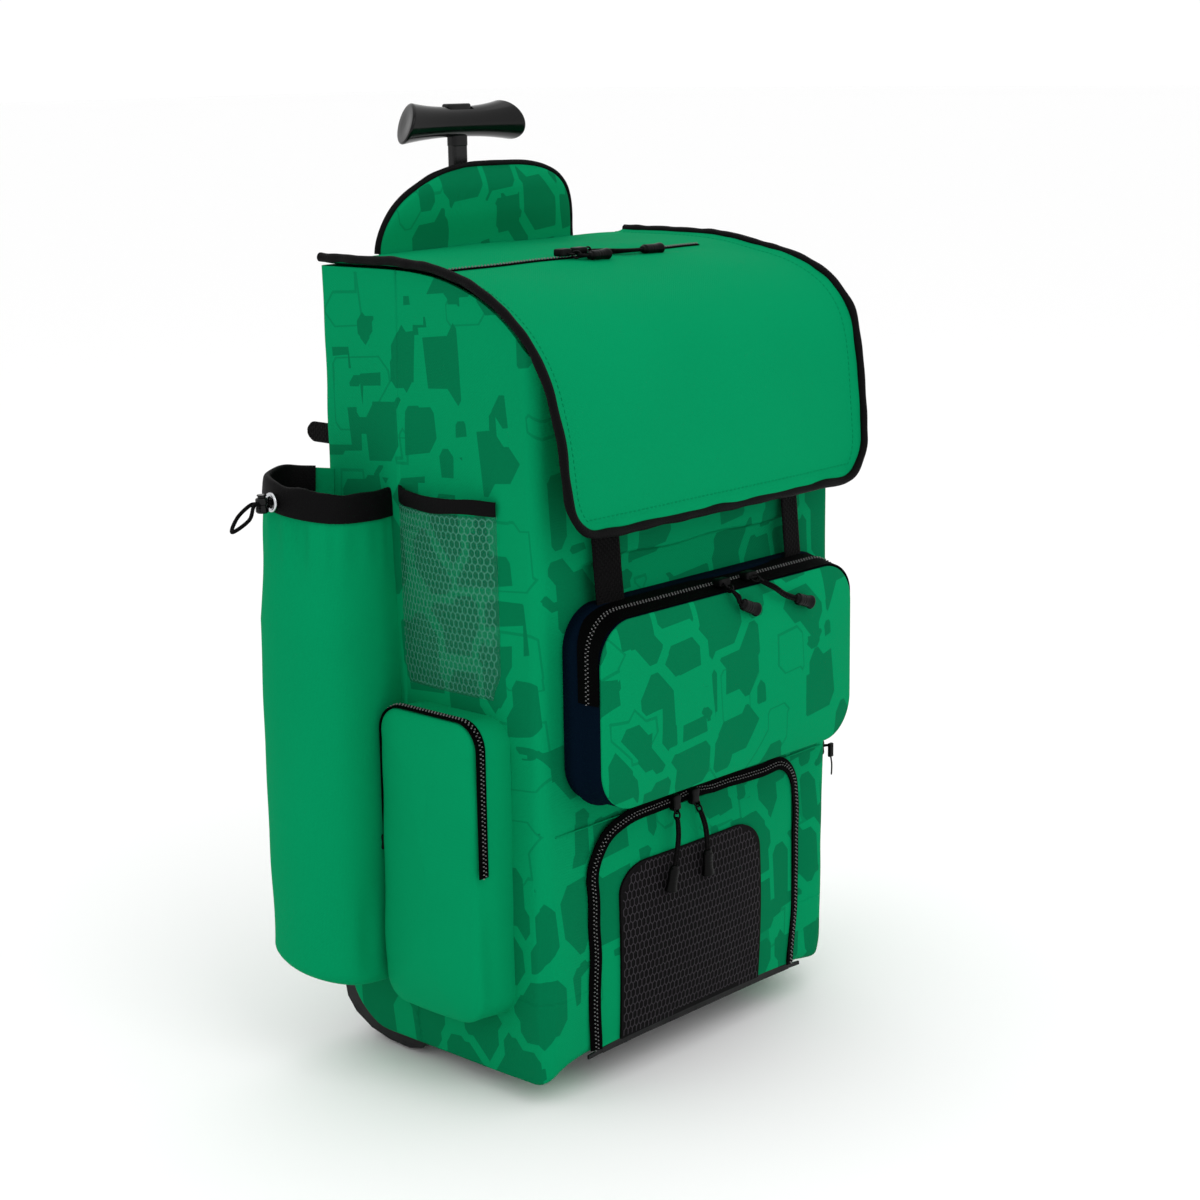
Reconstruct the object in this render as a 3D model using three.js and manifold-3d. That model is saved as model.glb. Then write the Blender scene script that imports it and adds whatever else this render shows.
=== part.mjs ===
// A wheeled bat backpack: a hollow cloth body with a hanging lid, zipped pockets, two open bat sleeves,
// a push-button T-handle on a sliding post, and a moulded base with two wheels.
// x runs across the bag, y from the front face to the back, z up from the floor. Millimetres.

import * as THREE from 'three';
import { mergeVertices } from 'three/addons/utils/BufferGeometryUtils.js';
import Module from 'manifold-3d';

const wasm = await Module();
wasm.setup();

// Driving sizes
const cloth = 3;
const thinCloth = 2;
const seat = 0.4;

const bag = {
  halfWidth: 173,
  depth: 226,
  bottom: 16,
  frontCorner: 11,
  backCorner: 6,
  heelRadius: 50,
  toeRadius: 8,
};
// Heights of the body's rows of points: above its floor round the heel, then up the walls.
const bodyLevels = { heel: [0, 4, 14, 30, 50], wall: [230, 395], underLid: 455 };
// The floor lifts in the middle of its front edge, and the wall above it less and less.
const frontArch = { rise: 18, reach: 55, fade: 150, power: 8 };

// The piping stands a little above the lid's face.
const lid = { halfWidth: 171, cornerRadius: 30, pipingRadius: 3.4, pipingRaise: 2.6 };
// The lid's side views, from its back edge over the top and down the front. Its right shoulder is fuller.
const lidLeft = [
  { y: 225, z: 632 },
  { y: 120, z: 631 },
  { y: 78, z: 624 },
  { y: 42, z: 610 },
  { y: 14, z: 590 },
  { y: -8, z: 562 },
  { y: -21, z: 528 },
  { y: -29, z: 486 },
  { y: -32, z: 448 },
];
const lidRight = [
  { y: 225, z: 632 },
  { y: 120, z: 631 },
  { y: 77, z: 625 },
  { y: 34, z: 616 },
  { y: 2, z: 600 },
  { y: -14, z: 582 },
  { y: -22.5, z: 557 },
  { y: -28, z: 505 },
  { y: -32, z: 448 },
];
// Places of the lid's rows of points along its side view, closer round the lower corners.
const lidSteps = [
  ...[0, 0.22, 0.28, 0.34, 0.41, 0.48, 0.54, 0.6, 0.66, 0.72, 0.78, 0.84],
  ...[0.91, 0.935, 0.96, 0.98, 0.993, 1],
];
const lidZip = { y: 98, left: -163, right: 121, width: 5 };

// The soft fold across the front wall below the lid.
const frontFold = { z: 424, height: 26, depth: 6, row: 12 };

// The front pocket's top slopes down to its face.
const frontPocket = {
  halfWidth: 149,
  bottom: 236,
  top: 388,
  slope: 8,
  radius: 33,
  depth: 37,
  crown: 6,
};
const frontZip = { width: 20, leftEnd: 320, rightEnd: 330 };

const door = { halfWidth: 122, bottom: 10, top: 213, radius: 38, crown: 8, zipWidth: 8 };
const vent = { x: -14, halfWidth: 83, top: 176, radius: 30 };

const sidePocket = {
  front: 31,
  back: 140,
  bottom: 68,
  top: 303,
  radius: 20,
  depth: 36,
  crown: 5,
  taper: 8,
  zipDepth: 31.5,
};
const sideZip = { width: 9, frontEnd: 186, backEnd: 190 };

const meshPocket = { front: 38, back: 142, bottom: 316, top: 455, bulge: 16, net: 1.2 };
// The net's foot is gathered in at both ends and lies closer to the panel.
const meshFoot = { pinch: 7, share: 0.4, slack: 0.25 };
const meshEdge = { height: 12, thickness: 2.4, proud: 0.6 };

const sleeve = {
  bottom: 76,
  rise: 14,
  waist: 230,
  frontTop: 463,
  backTop: 475,
  seamY: 192,
  floorRadius: 12,
  floorShrink: 0.18,
  binding: 20,
  bindingEnd: 0.93,
};
// A sleeve narrows toward its mouth.
const sleeveMouth = { shrink: 0.87, height: 110 };
// Half a plan section of a sleeve: how far it stands out from the side panel, front to back.
const sleeveSection = [
  { out: 0.4, y: 147 },
  { out: 26, y: 144 },
  { out: 60, y: 152 },
  { out: 77, y: 176 },
  { out: 80, y: 206 },
  { out: 67, y: 235 },
  { out: 36, y: 245 },
  { out: 0.4, y: 222 },
];

// The eyelet's place is a share of the way along the sleeve's section.
const eyelet = { place: 0.52, z: 458, radius: 6, wire: 1.6 };
const drawcord = { diameter: 3, reach: 35, drop: 18, spread: 8, run: 2.2 };
// How far out from the eyelet the cord's two straight runs through the lock have points.
const drawcordRun = [-1.7, 7, 12, 16];
const cordLock = { radius: 5, length: 14, from: 8 };

const lidStrap = { x: 108, leftWidth: 30, rightWidth: 20 };
// A lid strap's side view, from the top of the front pocket up under the lid.
const lidStrapProfile = [
  { z: 386.2, y: -13 },
  { z: 424, y: -9 },
  { z: 470, y: -5 },
  { z: 520, y: -2.4 },
];

// The padded head stands squarer on its right than on its left.
const backPanel = {
  halfWidth: 108,
  bottom: 96,
  shoulder: 632,
  top: 695,
  thickness: 7,
  chamfer: 12,
  leftPower: 1.9,
  rightPower: 3.8,
  bindingRadius: 2.4,
};

const handle = {
  y: 250.5,
  postWidth: 16,
  postDepth: 9,
  postRadius: 2.5,
  postBottom: 174,
  wall: 3,
  slack: 0.5,
};
const housing = { halfWidth: 14, bottom: 92, top: 632 };
const grip = {
  z: 730,
  midRadius: 12,
  endRadius: 16,
  flare: 2.2,
  halfLength: 57,
  slant: 6,
  sweep: 7,
  neckFoot: 713,
};
const button = { length: 25, width: 11, proud: 2.5, sunk: 5, travel: 4, radius: 3 };

const base = { thickness: 3, lipThickness: 1.6, lipHalfWidth: 130, lipHeight: 4 };
// The base plate's outline: it is narrower under the arched front.
const basePlate = [
  { y: -2, half: 115 },
  { y: 9, half: 105 },
  { y: 55, half: 105 },
  { y: 70, half: 158 },
  { y: 182, half: 158 },
];
const foot = { x: 84, length: 56, front: 56, depth: 24 };
const wheel = {
  x: 151,
  y: 194,
  radius: 38,
  width: 19,
  shoulder: 6,
  rimRadius: 27,
  bossRadius: 12,
  dish: 4,
  axleRadius: 4,
  boreRadius: 4.6,
};
const guard = { inner: 137, outer: 165, top: 84, cheek: 3, clearance: 4, behind: 0.7 };
// The wheel guard's side view, from its front toe under the wheel and up the back.
const guardProfile = [
  { y: 142, z: 14 },
  { y: 150, z: 7 },
  { y: 164, z: 3.5 },
  { y: 188, z: 4.5 },
  { y: 209, z: 9 },
  { y: 227, z: 18 },
  { y: 237, z: 29 },
  { y: 240, z: 42 },
  { y: 240, z: guard.top },
  { y: 150, z: guard.top },
  { y: 142, z: 60 },
];

const seamTab = { z: 497, height: 16, reach: 30, thickness: 3, inset: 8 };

const pullShape = { stemRadius: 1.5, endRadius: 3.4, endFrom: 0.1 };
const flatSlider = [13, 9, 6];
const uprightSlider = [9, 6, 13];

// Colours of the cloth, trim and hardware
const green = 0x00905a;
const darkGreen = 0x00784c;
const navy = 0x071526;
const black = 0x141516;
const meshGrey = 0x5d6668;
const silver = 0xb9bcc0;

// Solids
function geometryOf(points, faces) {
  let volume = 0;
  for (const [a, b, c] of faces) volume += points[a].dot(points[b].clone().cross(points[c]));
  const geometry = new THREE.BufferGeometry();
  geometry.setFromPoints(points);
  geometry.setIndex(faces.flatMap(([a, b, c]) => (volume > 0 ? [a, b, c] : [a, c, b])));
  return geometry;
}

// A cloth wall of even thickness on rows of points, growing toward the point "inside".
// Rows may close on themselves (loop), and the last row may be a single point.
function sheet(rows, thickness, inside, loop = false) {
  const width = rows[0].length;
  const tip = rows.at(-1).length === 1;
  const bands = tip ? rows.slice(0, -1) : rows;
  const normals = bands.map((row, j) => row.map((_, i) => normalAt(bands, j, i, loop)));
  let facing = 0;
  bands.forEach((row, j) => row.forEach((p, i) => (facing += normals[j][i].dot(inside.clone().sub(p)))));
  const step = Math.sign(facing) * thickness;

  const outer = bands.flat();
  const inner = outer.map((p, k) => p.clone().addScaledVector(normals.flat()[k], step));
  const points = [...outer, ...inner];
  const shift = outer.length;
  const faces = [];
  const quad = (a, b, c, d) => faces.push([a, b, c], [a, c, d]);
  const at = (j, i) => j * width + (i % width);
  const columns = loop ? width : width - 1;
  for (let j = 0; j + 1 < bands.length; j++) {
    for (let i = 0; i < columns; i++) {
      const corners = [at(j, i), at(j, i + 1), at(j + 1, i + 1), at(j + 1, i)];
      quad(...corners);
      quad(...corners.map((k) => k + shift).reverse());
    }
  }
  const edge = (a, b) => quad(b, a, a + shift, b + shift);
  const last = bands.length - 1;
  for (let i = 0; i < columns; i++) edge(at(0, i), at(0, i + 1));
  if (!loop) {
    for (let j = 0; j < last; j++) {
      edge(at(j + 1, 0), at(j, 0));
      edge(at(j, width - 1), at(j + 1, width - 1));
    }
  }
  if (tip) {
    const pole = rows.at(-1)[0];
    const mean = new THREE.Vector3();
    normals[last].forEach((n) => mean.add(n));
    const top = points.push(pole) - 1;
    const under = points.push(pole.clone().addScaledVector(mean.normalize(), step)) - 1;
    for (let i = 0; i < columns; i++) {
      faces.push([at(last, i), at(last, i + 1), top]);
      faces.push([at(last, i + 1) + shift, at(last, i) + shift, under]);
    }
    if (!loop) {
      quad(at(last, 0), top, under, at(last, 0) + shift);
      quad(top, at(last, width - 1), at(last, width - 1) + shift, under);
    }
  } else {
    for (let i = 0; i < columns; i++) edge(at(last, i + 1), at(last, i));
  }
  return geometryOf(points, faces);
}

function normalAt(rows, j, i, loop) {
  const row = rows[j];
  const n = row.length;
  const next = loop ? row[(i + 1) % n] : row[Math.min(i + 1, n - 1)];
  const before = loop ? row[(i + n - 1) % n] : row[Math.max(i - 1, 0)];
  const along = rows[Math.min(j + 1, rows.length - 1)][i].clone().sub(rows[Math.max(j - 1, 0)][i]);
  return next.clone().sub(before).cross(along).normalize();
}

// A closed solid through a stack of rings with the same number of points, with flat ends.
function loft(rings) {
  const n = rings[0].length;
  const points = rings.flat();
  const faces = [];
  for (let j = 0; j + 1 < rings.length; j++) {
    for (let i = 0; i < n; i++) {
      const [a, b] = [j * n + i, j * n + ((i + 1) % n)];
      faces.push([a, b, b + n], [a, b + n, a + n]);
    }
  }
  for (const [ring, first] of [[rings[0], 0], [rings.at(-1), (rings.length - 1) * n]]) {
    const middle = new THREE.Vector3();
    ring.forEach((p) => middle.addScaledVector(p, 1 / n));
    const centre = points.push(middle) - 1;
    for (let i = 0; i < n; i++) {
      const [a, b] = [first + i, first + ((i + 1) % n)];
      faces.push(first ? [a, b, centre] : [b, a, centre]);
    }
  }
  return geometryOf(points, faces);
}

// A flat outline pushed along an axis. "y" draws it in x and z, "x" in y and z, "z" in x and y.
function prism(outline, axis, from, to, curveSegments = 6) {
  const shape = outline instanceof THREE.Shape ? outline : new THREE.Shape(outline);
  const depth = to - from;
  const geometry = new THREE.ExtrudeGeometry(shape, { depth, bevelEnabled: false, curveSegments });
  const [x, y, z] = [[1, 0, 0], [0, 1, 0], [0, 0, 1]].map((v) => new THREE.Vector3(...v));
  const turn = new THREE.Matrix4();
  if (axis === 'y') turn.makeBasis(x, z, y.clone().negate()).setPosition(0, to, 0);
  if (axis === 'x') turn.makeBasis(y, z, x).setPosition(from, 0, 0);
  if (axis === 'z') turn.setPosition(0, 0, from);
  return geometry.applyMatrix4(turn);
}

function block([x0, x1], [y0, y1], [z0, z1]) {
  const geometry = new THREE.BoxGeometry(x1 - x0, y1 - y0, z1 - z0);
  return geometry.translate((x0 + x1) / 2, (y0 + y1) / 2, (z0 + z1) / 2);
}

// A round bar along x.
function bar(radius, x0, x1, y, z, sides = 24) {
  const geometry = new THREE.CylinderGeometry(radius, radius, x1 - x0, sides);
  return geometry.rotateZ(Math.PI / 2).translate((x0 + x1) / 2, y, z);
}

function circle(radius, sides) {
  const turn = (i) => (2 * Math.PI * i) / sides;
  return Array.from({ length: sides }, (_, i) => {
    return new THREE.Vector2(radius * Math.cos(turn(i)), radius * Math.sin(turn(i)));
  });
}

function tube(points, radius, steps, sides = 8) {
  const extrudePath = new THREE.CatmullRomCurve3(points, false, 'centripetal');
  const shape = new THREE.Shape(circle(radius, sides));
  return new THREE.ExtrudeGeometry(shape, { extrudePath, steps, bevelEnabled: false });
}

function toSolid(geometry) {
  const bare = geometry.clone();
  bare.deleteAttribute('normal');
  bare.deleteAttribute('uv');
  const merged = mergeVertices(bare, 1e-4);
  const mesh = new wasm.Mesh({
    numProp: 3,
    vertProperties: new Float32Array(merged.attributes.position.array),
    triVerts: new Uint32Array(merged.index.array),
  });
  mesh.merge();
  return new wasm.Manifold(mesh);
}

function fromSolid(solid) {
  const mesh = solid.getMesh();
  const geometry = new THREE.BufferGeometry();
  geometry.setAttribute('position', new THREE.BufferAttribute(mesh.vertProperties, 3));
  geometry.setIndex(new THREE.BufferAttribute(mesh.triVerts, 1));
  return geometry;
}

function join(...pieces) {
  return fromSolid(pieces.map(toSolid).reduce((whole, piece) => whole.add(piece)));
}

function cut(piece, ...tools) {
  return fromSolid(tools.map(toSolid).reduce((rest, tool) => rest.subtract(tool), toSolid(piece)));
}

// Outlines
function range(count) {
  return Array.from({ length: count + 1 }, (_, i) => i / count);
}

function mix(a, b, t) {
  return a + (b - a) * t;
}

// A rectangle with round corners as a closed list of [a, b] points, with one radius for each corner.
// "steps" is the number of pieces in each corner, each side along a and each side along b.
function roundRect(a0, a1, b0, b1, radii, steps = [4, 1, 1]) {
  const [cornerSteps, stepsA, stepsB] = steps;
  const corners = [[a1, b1, -1, -1], [a0, b1, 1, -1], [a0, b0, 1, 1], [a1, b0, -1, 1]];
  const arcs = corners.map(([a, b, inA, inB], k) => {
    const r = Array.isArray(radii) ? radii[k] : radii;
    return range(cornerSteps).map((t) => {
      const angle = ((k + t) * Math.PI) / 2;
      return [a + inA * r + r * Math.cos(angle), b + inB * r + r * Math.sin(angle)];
    });
  });
  return arcs.flatMap((arc, k) => {
    const [[a, b], [c, d]] = [arc.at(-1), arcs[(k + 1) % 4][0]];
    const between = range(k % 2 ? stepsB : stepsA).slice(1, -1);
    return [...arc, ...between.map((t) => [mix(a, c, t), mix(b, d, t)])];
  });
}

// An upturned U: up one leg, round over the top and down the other, each point with its outward direction.
function archPath({ left, right, top, leftEnd, rightEnd, radius }, cornerSteps = 4) {
  const path = [];
  const add = (a, b, na, nb) => path.push({ a, b, na, nb });
  add(left, leftEnd, -1, 0);
  for (const t of range(cornerSteps)) {
    const angle = Math.PI * (1 - t / 2);
    const [c, s] = [Math.cos(angle), Math.sin(angle)];
    add(left + radius + radius * c, top - radius + radius * s, c, s);
  }
  for (const t of range(cornerSteps)) {
    const angle = (Math.PI * (1 - t)) / 2;
    const [c, s] = [Math.cos(angle), Math.sin(angle)];
    add(right - radius + radius * c, top - radius + radius * s, c, s);
  }
  add(right, rightEnd, 1, 0);
  return path;
}

const point = (x, y, z) => new THREE.Vector3(x, y, z);
const bagMiddle = point(0, bag.depth / 2, 300);

const lidEdges = [lidLeft, lidRight].map((side) => {
  return new THREE.CatmullRomCurve3(side.map(({ y, z }) => point(0, y, z)), false, 'centripetal');
});

// A point of the lid: a share t of the way down it and a share s of the way across.
function lidPoint(t, s) {
  const [left, right] = lidEdges.map((curve) => curve.getPointAt(t));
  return left.lerp(right, s);
}

// The lid's height and slope over a place on the bag's top.
function lidOver(x, y) {
  const across = Math.min(1, Math.max(0, 0.5 + x / (2 * lid.halfWidth)));
  const samples = range(120).map((t) => lidPoint(t, across));
  const k = samples.findIndex((p, i) => i > 0 && p.y <= y);
  const [p, q] = k < 1 ? [samples[0], samples[1]] : [samples[k - 1], samples[k]];
  const slope = (q.z - p.z) / (q.y - p.y);
  return { z: p.z + slope * (y - p.y), slope };
}

// The top edge of the body: the lid rests on it.
function rimHeight(x, y) {
  const { z, slope } = lidOver(x, y);
  return z - (cloth + 2.2 * seat) * Math.hypot(1, slope);
}

// How far the floor lifts at a place near its front edge.
function floorRise(x, y) {
  const across = Math.max(0, 1 - (x / bag.halfWidth) ** frontArch.power);
  return frontArch.rise * across * Math.min(1, Math.max(0, 1 - y / frontArch.reach));
}

// The arched top of the base's front lip.
function lipHeight(x) {
  const across = Math.max(0, 1 - (x / base.lipHalfWidth) ** 2);
  return bag.bottom + floorRise(x, 0) + base.lipHeight * across;
}

// Body
function bodyRows() {
  const { halfWidth, depth, bottom, frontCorner, backCorner, heelRadius, toeRadius } = bag;
  const tuck = (radius, z) => {
    const below = Math.max(0, bottom + radius - z);
    return radius - Math.sqrt(Math.max(0, radius ** 2 - below ** 2));
  };
  const ring = (z) => {
    const back = depth - tuck(heelRadius, z);
    const front = tuck(toeRadius, z);
    const half = halfWidth - tuck(toeRadius / 2, z);
    const radii = [backCorner, backCorner, frontCorner, frontCorner];
    return roundRect(-half, half, front, back, radii, [2, 6, 5]);
  };
  const fold = (x, y, z) => {
    const near = Math.max(0, 1 - Math.abs(z - frontFold.z) / frontFold.height);
    const across = Math.max(0, 1 - (x / halfWidth) ** 4);
    return y < 1 ? frontFold.depth * near * across : 0;
  };
  const heel = bodyLevels.heel.map((up) => bottom + up);
  const folded = [-1, 0, 1].map((s) => frontFold.z + s * frontFold.row);
  const levels = [...heel, ...bodyLevels.wall, ...folded, bodyLevels.underLid];
  const rows = levels.reverse().map((z) => {
    const lift = Math.max(0, 1 - (z - bottom) / frontArch.fade);
    return ring(z).map(([x, y]) => point(x, y + fold(x, y, z), z + lift * floorRise(x, y)));
  });
  const rim = ring(levels[0]).map(([x, y]) => point(x, y, rimHeight(x, y)));
  return [rim, ...rows, [point(0, depth / 2, bottom)]];
}

// The space in the lower back corners that the wheel guards fill.
function guardRoom(side) {
  const x = [guard.inner - 1, guard.outer + 1].map((v) => v * side).sort((a, b) => a - b);
  return block(x, [guardProfile[0].y - 1, bag.depth + cloth], [0, guard.top + 1]);
}

function bagBody() {
  const shell = sheet(bodyRows(), cloth, bagMiddle, true);
  return cut(shell, guardRoom(-1), guardRoom(1));
}

// Lid
// How far round its lower corner the lid's edge is at a height: 0 above the corner, 1 at the bottom edge.
function cornerTurn(z) {
  const below = Math.max(0, lidLeft.at(-1).z + lid.cornerRadius - z);
  return Math.min(1, below / lid.cornerRadius);
}

function lidHalfWidth(z) {
  return lid.halfWidth - lid.cornerRadius * (1 - Math.sqrt(1 - cornerTurn(z) ** 2));
}

function lidFlap() {
  const rows = lidSteps.map((t) => {
    const [left, right] = [0, 1].map((s) => {
      const { z } = lidPoint(t, s);
      return lidHalfWidth(z) - 4 * seat * Math.sqrt(cornerTurn(z));
    });
    return range(6).map((s) => lidPoint(t, s).setX(mix(-left, right, s)));
  });
  return sheet(rows, cloth, bagMiddle);
}

function lidPiping() {
  const { pipingRadius, pipingRaise } = lid;
  const shift = Math.sqrt((pipingRadius + 2 * seat) ** 2 - pipingRaise ** 2);
  const edge = (curve, side) => lidSteps.slice(0, -1).map((t) => {
    const p = curve.getPointAt(t);
    const along = curve.getTangentAt(t);
    const turn = cornerTurn(p.z);
    const x = lidHalfWidth(p.z) + shift * Math.sqrt(1 - turn ** 2);
    const raised = point(0, along.z, -along.y).multiplyScalar(pipingRaise);
    return p.clone().add(raised).addScaledVector(along, shift * turn).setX(side * x);
  });
  const [left, right] = [edge(lidEdges[0], -1), edge(lidEdges[1], 1)];
  const bottom = lidPoint(1, 0);
  const under = point(0, bottom.y - pipingRaise, bottom.z - shift);
  const inward = lid.halfWidth - lid.cornerRadius;
  const low = [inward, inward / 3, -inward / 3, -inward].map((x) => under.clone().setX(x));
  return tube([...right, ...low, ...left.reverse()], pipingRadius, 53, 6);
}

function lidZipTape() {
  const rows = [-0.5, 0.5].map((s) => range(6).map((t) => {
    const x = mix(lidZip.left, lidZip.right, t);
    const { z, slope } = lidOver(x, lidZip.y);
    const step = s * lidZip.width;
    return point(x, lidZip.y + step, z + slope * step + seat + thinCloth);
  }));
  return sheet(rows, thinCloth, bagMiddle);
}

// A zip slider with its cord and moulded end as one piece. It lies along "path", a few points.
function zipPull({ path, slider }) {
  const [sliderX, sliderY, sliderZ] = slider.map((v) => v / 2);
  const head = path[0];
  const body = block(
    [head.x - sliderX, head.x + sliderX],
    [head.y - sliderY, head.y + sliderY],
    [head.z - sliderZ, head.z + sliderZ],
  );
  const tail = path.at(-1);
  const start = path.at(-2).clone().lerp(tail, pullShape.endFrom);
  const stem = tube(path, pullShape.stemRadius, 6, 6);
  const end = tube([start, start.clone().lerp(tail, 0.5), tail], pullShape.endRadius, 2, 8);
  return join(body, stem, end);
}

// Front pocket
function pocketRing(pocket, inset, depth, place) {
  const half = pocket.halfWidth - inset;
  const radius = Math.max(pocket.radius - inset, 6);
  const ring = roundRect(-half, half, pocket.bottom + inset, pocket.top - inset, radius, [4, 3, 1]);
  return ring.map(([x, z]) => place(x, z, depth));
}

const onFront = (x, z, out) => point(x, -out, z);

// The front pocket's sizes at a distance out from the front wall.
function pocketAt(out) {
  const { top, slope, depth } = frontPocket;
  return { ...frontPocket, top: top - slope * Math.min(1, out / depth) };
}

function frontGusset() {
  const { slope, depth } = frontPocket;
  const lean = (cloth * slope) / depth;
  const rows = [seat + lean, depth].map((out) => pocketRing(pocketAt(out), 0, out, onFront));
  return sheet(rows, cloth, bagMiddle.clone().setZ((frontPocket.bottom + frontPocket.top) / 2), true);
}

function frontFace() {
  const { depth, crown, bottom, top } = frontPocket;
  const edge = depth + seat + cloth;
  const steps = [
    { inset: 0, out: edge },
    { inset: 10, out: edge + 0.45 * crown },
    { inset: 32, out: edge + 0.85 * crown },
  ];
  const rows = steps.map(({ inset, out }) => pocketRing(pocketAt(out), inset, out, onFront));
  rows.push([point(0, -edge - crown, (bottom + top) / 2)]);
  return sheet(rows, cloth, bagMiddle, true);
}

function frontZipTape() {
  const { halfWidth, radius, depth } = frontPocket;
  const { leftEnd, rightEnd, width } = frontZip;
  const lift = 1.5 * seat + thinCloth;
  const rows = [depth - width, depth].map((out) => {
    const { top } = pocketAt(out);
    const path = archPath({ left: -halfWidth, right: halfWidth, top, leftEnd, rightEnd, radius });
    return path.map(({ a, b, na, nb }) => point(a + na * lift, -out, b + nb * lift));
  });
  return sheet(rows, thinCloth, point(0, -depth, frontPocket.bottom));
}

// Shoe door at the foot of the front
function doorBulge(x, z) {
  const across = 1 - (x / door.halfWidth) ** 2;
  const share = Math.min(1, Math.max(0, (z - door.bottom) / (door.top - door.bottom)));
  const up = Math.sin(Math.PI * share);
  return seat + thinCloth + door.crown * Math.max(0, across) * up;
}

function doorRing({ x: middle, halfWidth, top, radius }, lift) {
  const low = lipHeight(halfWidth) + seat;
  const [left, right] = [middle - halfWidth, middle + halfWidth];
  const ring = roundRect(left, right, low, top, [radius, radius, 0.5, 0.5], [3, 4, 2]);
  return ring.map(([x, z]) => {
    const height = z < low + 1 ? lipHeight(x) + 2 * seat : z;
    return onFront(x, height, doorBulge(x, height) + lift);
  });
}

// A door outline and rings that shrink from it to its middle.
function doorRows(outline, lift) {
  const middle = (lipHeight(0) + outline.top) / 2;
  const first = doorRing(outline, lift);
  const rings = [1, 0.75, 0.4, 0].map((k) => {
    return first.map((p) => {
      const [x, z] = [mix(outline.x, p.x, k), mix(middle, p.z, k)];
      return onFront(x, z, doorBulge(x, z) + lift);
    });
  });
  return [...rings.slice(0, -1), [rings.at(-1)[0]]];
}

function doorPanel() {
  const edge = door.zipWidth / 2 + seat;
  const { halfWidth, top, radius } = door;
  const rows = doorRows({ x: 0, halfWidth: halfWidth - edge, top: top - edge, radius }, 0);
  return sheet(rows, thinCloth, bagMiddle, true);
}

function ventPanel() {
  return sheet(doorRows(vent, thinCloth + seat), thinCloth, bagMiddle, true);
}

function doorZipTape() {
  const { halfWidth, top, radius, zipWidth } = door;
  const end = lipHeight(halfWidth) + seat + 1;
  const path = archPath({ left: -halfWidth, right: halfWidth, top, leftEnd: end, rightEnd: end, radius });
  const rows = [-0.5, 0.5].map((s) => {
    return path.map(({ a, b, na, nb }) => {
      return onFront(a + s * zipWidth * na, b + s * zipWidth * nb, seat + thinCloth);
    });
  });
  return sheet(rows, thinCloth, bagMiddle);
}

// Zipped pocket low on a side panel
function sidePocketShell(side) {
  const { front, back, bottom, top, radius, depth, crown, taper, zipDepth } = sidePocket;
  const steps = [
    { inset: 0, out: 2 * seat },
    { inset: 0, out: zipDepth },
    { inset: 2.5, out: depth * 0.92 },
    { inset: 9, out: depth },
    { inset: 28, out: depth + crown * 0.7 },
  ];
  const place = (y, z, out) => point(side * (bag.halfWidth + out), y, z);
  const rows = steps.map(({ inset, out }) => {
    const r = Math.max(radius - inset / 2, 8);
    const lean = taper * Math.min(1, out / depth);
    const ring = roundRect(front + lean + inset, back - inset, bottom + inset, top - inset, r, [3, 1, 2]);
    return ring.map(([y, z]) => place(y, z, out));
  });
  rows.push([place((front + back) / 2, (bottom + top) / 2, depth + crown)]);
  return sheet(rows, thinCloth, bagMiddle.clone().setZ((bottom + top) / 2), true);
}

function sideZipTape(side) {
  const { front, back, bottom, top, radius, depth, taper, zipDepth } = sidePocket;
  const { frontEnd, backEnd, width } = sideZip;
  const lift = 1.5 * seat + thinCloth;
  const rows = [zipDepth - width, zipDepth].map((out) => {
    const left = front + (taper * out) / depth;
    const path = archPath({ left, right: back, top, leftEnd: frontEnd, rightEnd: backEnd, radius }, 3);
    const x = side * (bag.halfWidth + out);
    return path.map(({ a, b, na, nb }) => point(x, a + na * lift, b + nb * lift));
  });
  const inside = point(side * (bag.halfWidth + zipDepth), (front + back) / 2, bottom);
  return sheet(rows, thinCloth, inside);
}

// Net pocket high on a side panel
function meshOut(y, height) {
  const { front, back, bulge } = meshPocket;
  const across = Math.sin((Math.PI * (y - front)) / (back - front));
  return seat + thinCloth + bulge * Math.max(0, across) ** 0.8 * mix(meshFoot.slack, 1, height);
}

function meshSheet(side) {
  const { front, back, bottom, top, net } = meshPocket;
  const rows = range(5).map((h) => {
    const { pinch, share } = h === 0 ? meshFoot : { pinch: 0, share: 1 };
    return range(8).map((t) => {
      const y = mix(front + pinch, back - pinch, t);
      return point(side * (bag.halfWidth + meshOut(y, h) * share), y, mix(bottom, top, h));
    });
  });
  return sheet(rows, net, bagMiddle);
}

function meshBinding(side) {
  const { front, back, top } = meshPocket;
  const { height, thickness, proud } = meshEdge;
  const rows = [seat, height].map((up) => {
    return range(8).map((t) => {
      const y = mix(front, back, t);
      return point(side * (bag.halfWidth + meshOut(y, 1) + proud), y, top + up);
    });
  });
  return sheet(rows, thickness, bagMiddle);
}

// Open sleeve for a bat, at the back of a side panel
const sleeveCurve = new THREE.CatmullRomCurve3(sleeveSection.map(({ out, y }) => point(out, y, 0)));

// How far back a place is on a sleeve, from 0 at its front to 1 at its back.
function sleeveBack(y) {
  const places = sleeveSection.map((p) => p.y);
  const [front, back] = [Math.min(...places), Math.max(...places)];
  return Math.min(1, Math.max(0, (y - front) / (back - front)));
}

function sleeveRim(y) {
  return mix(sleeve.frontTop, sleeve.backTop, sleeveBack(y));
}

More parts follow.
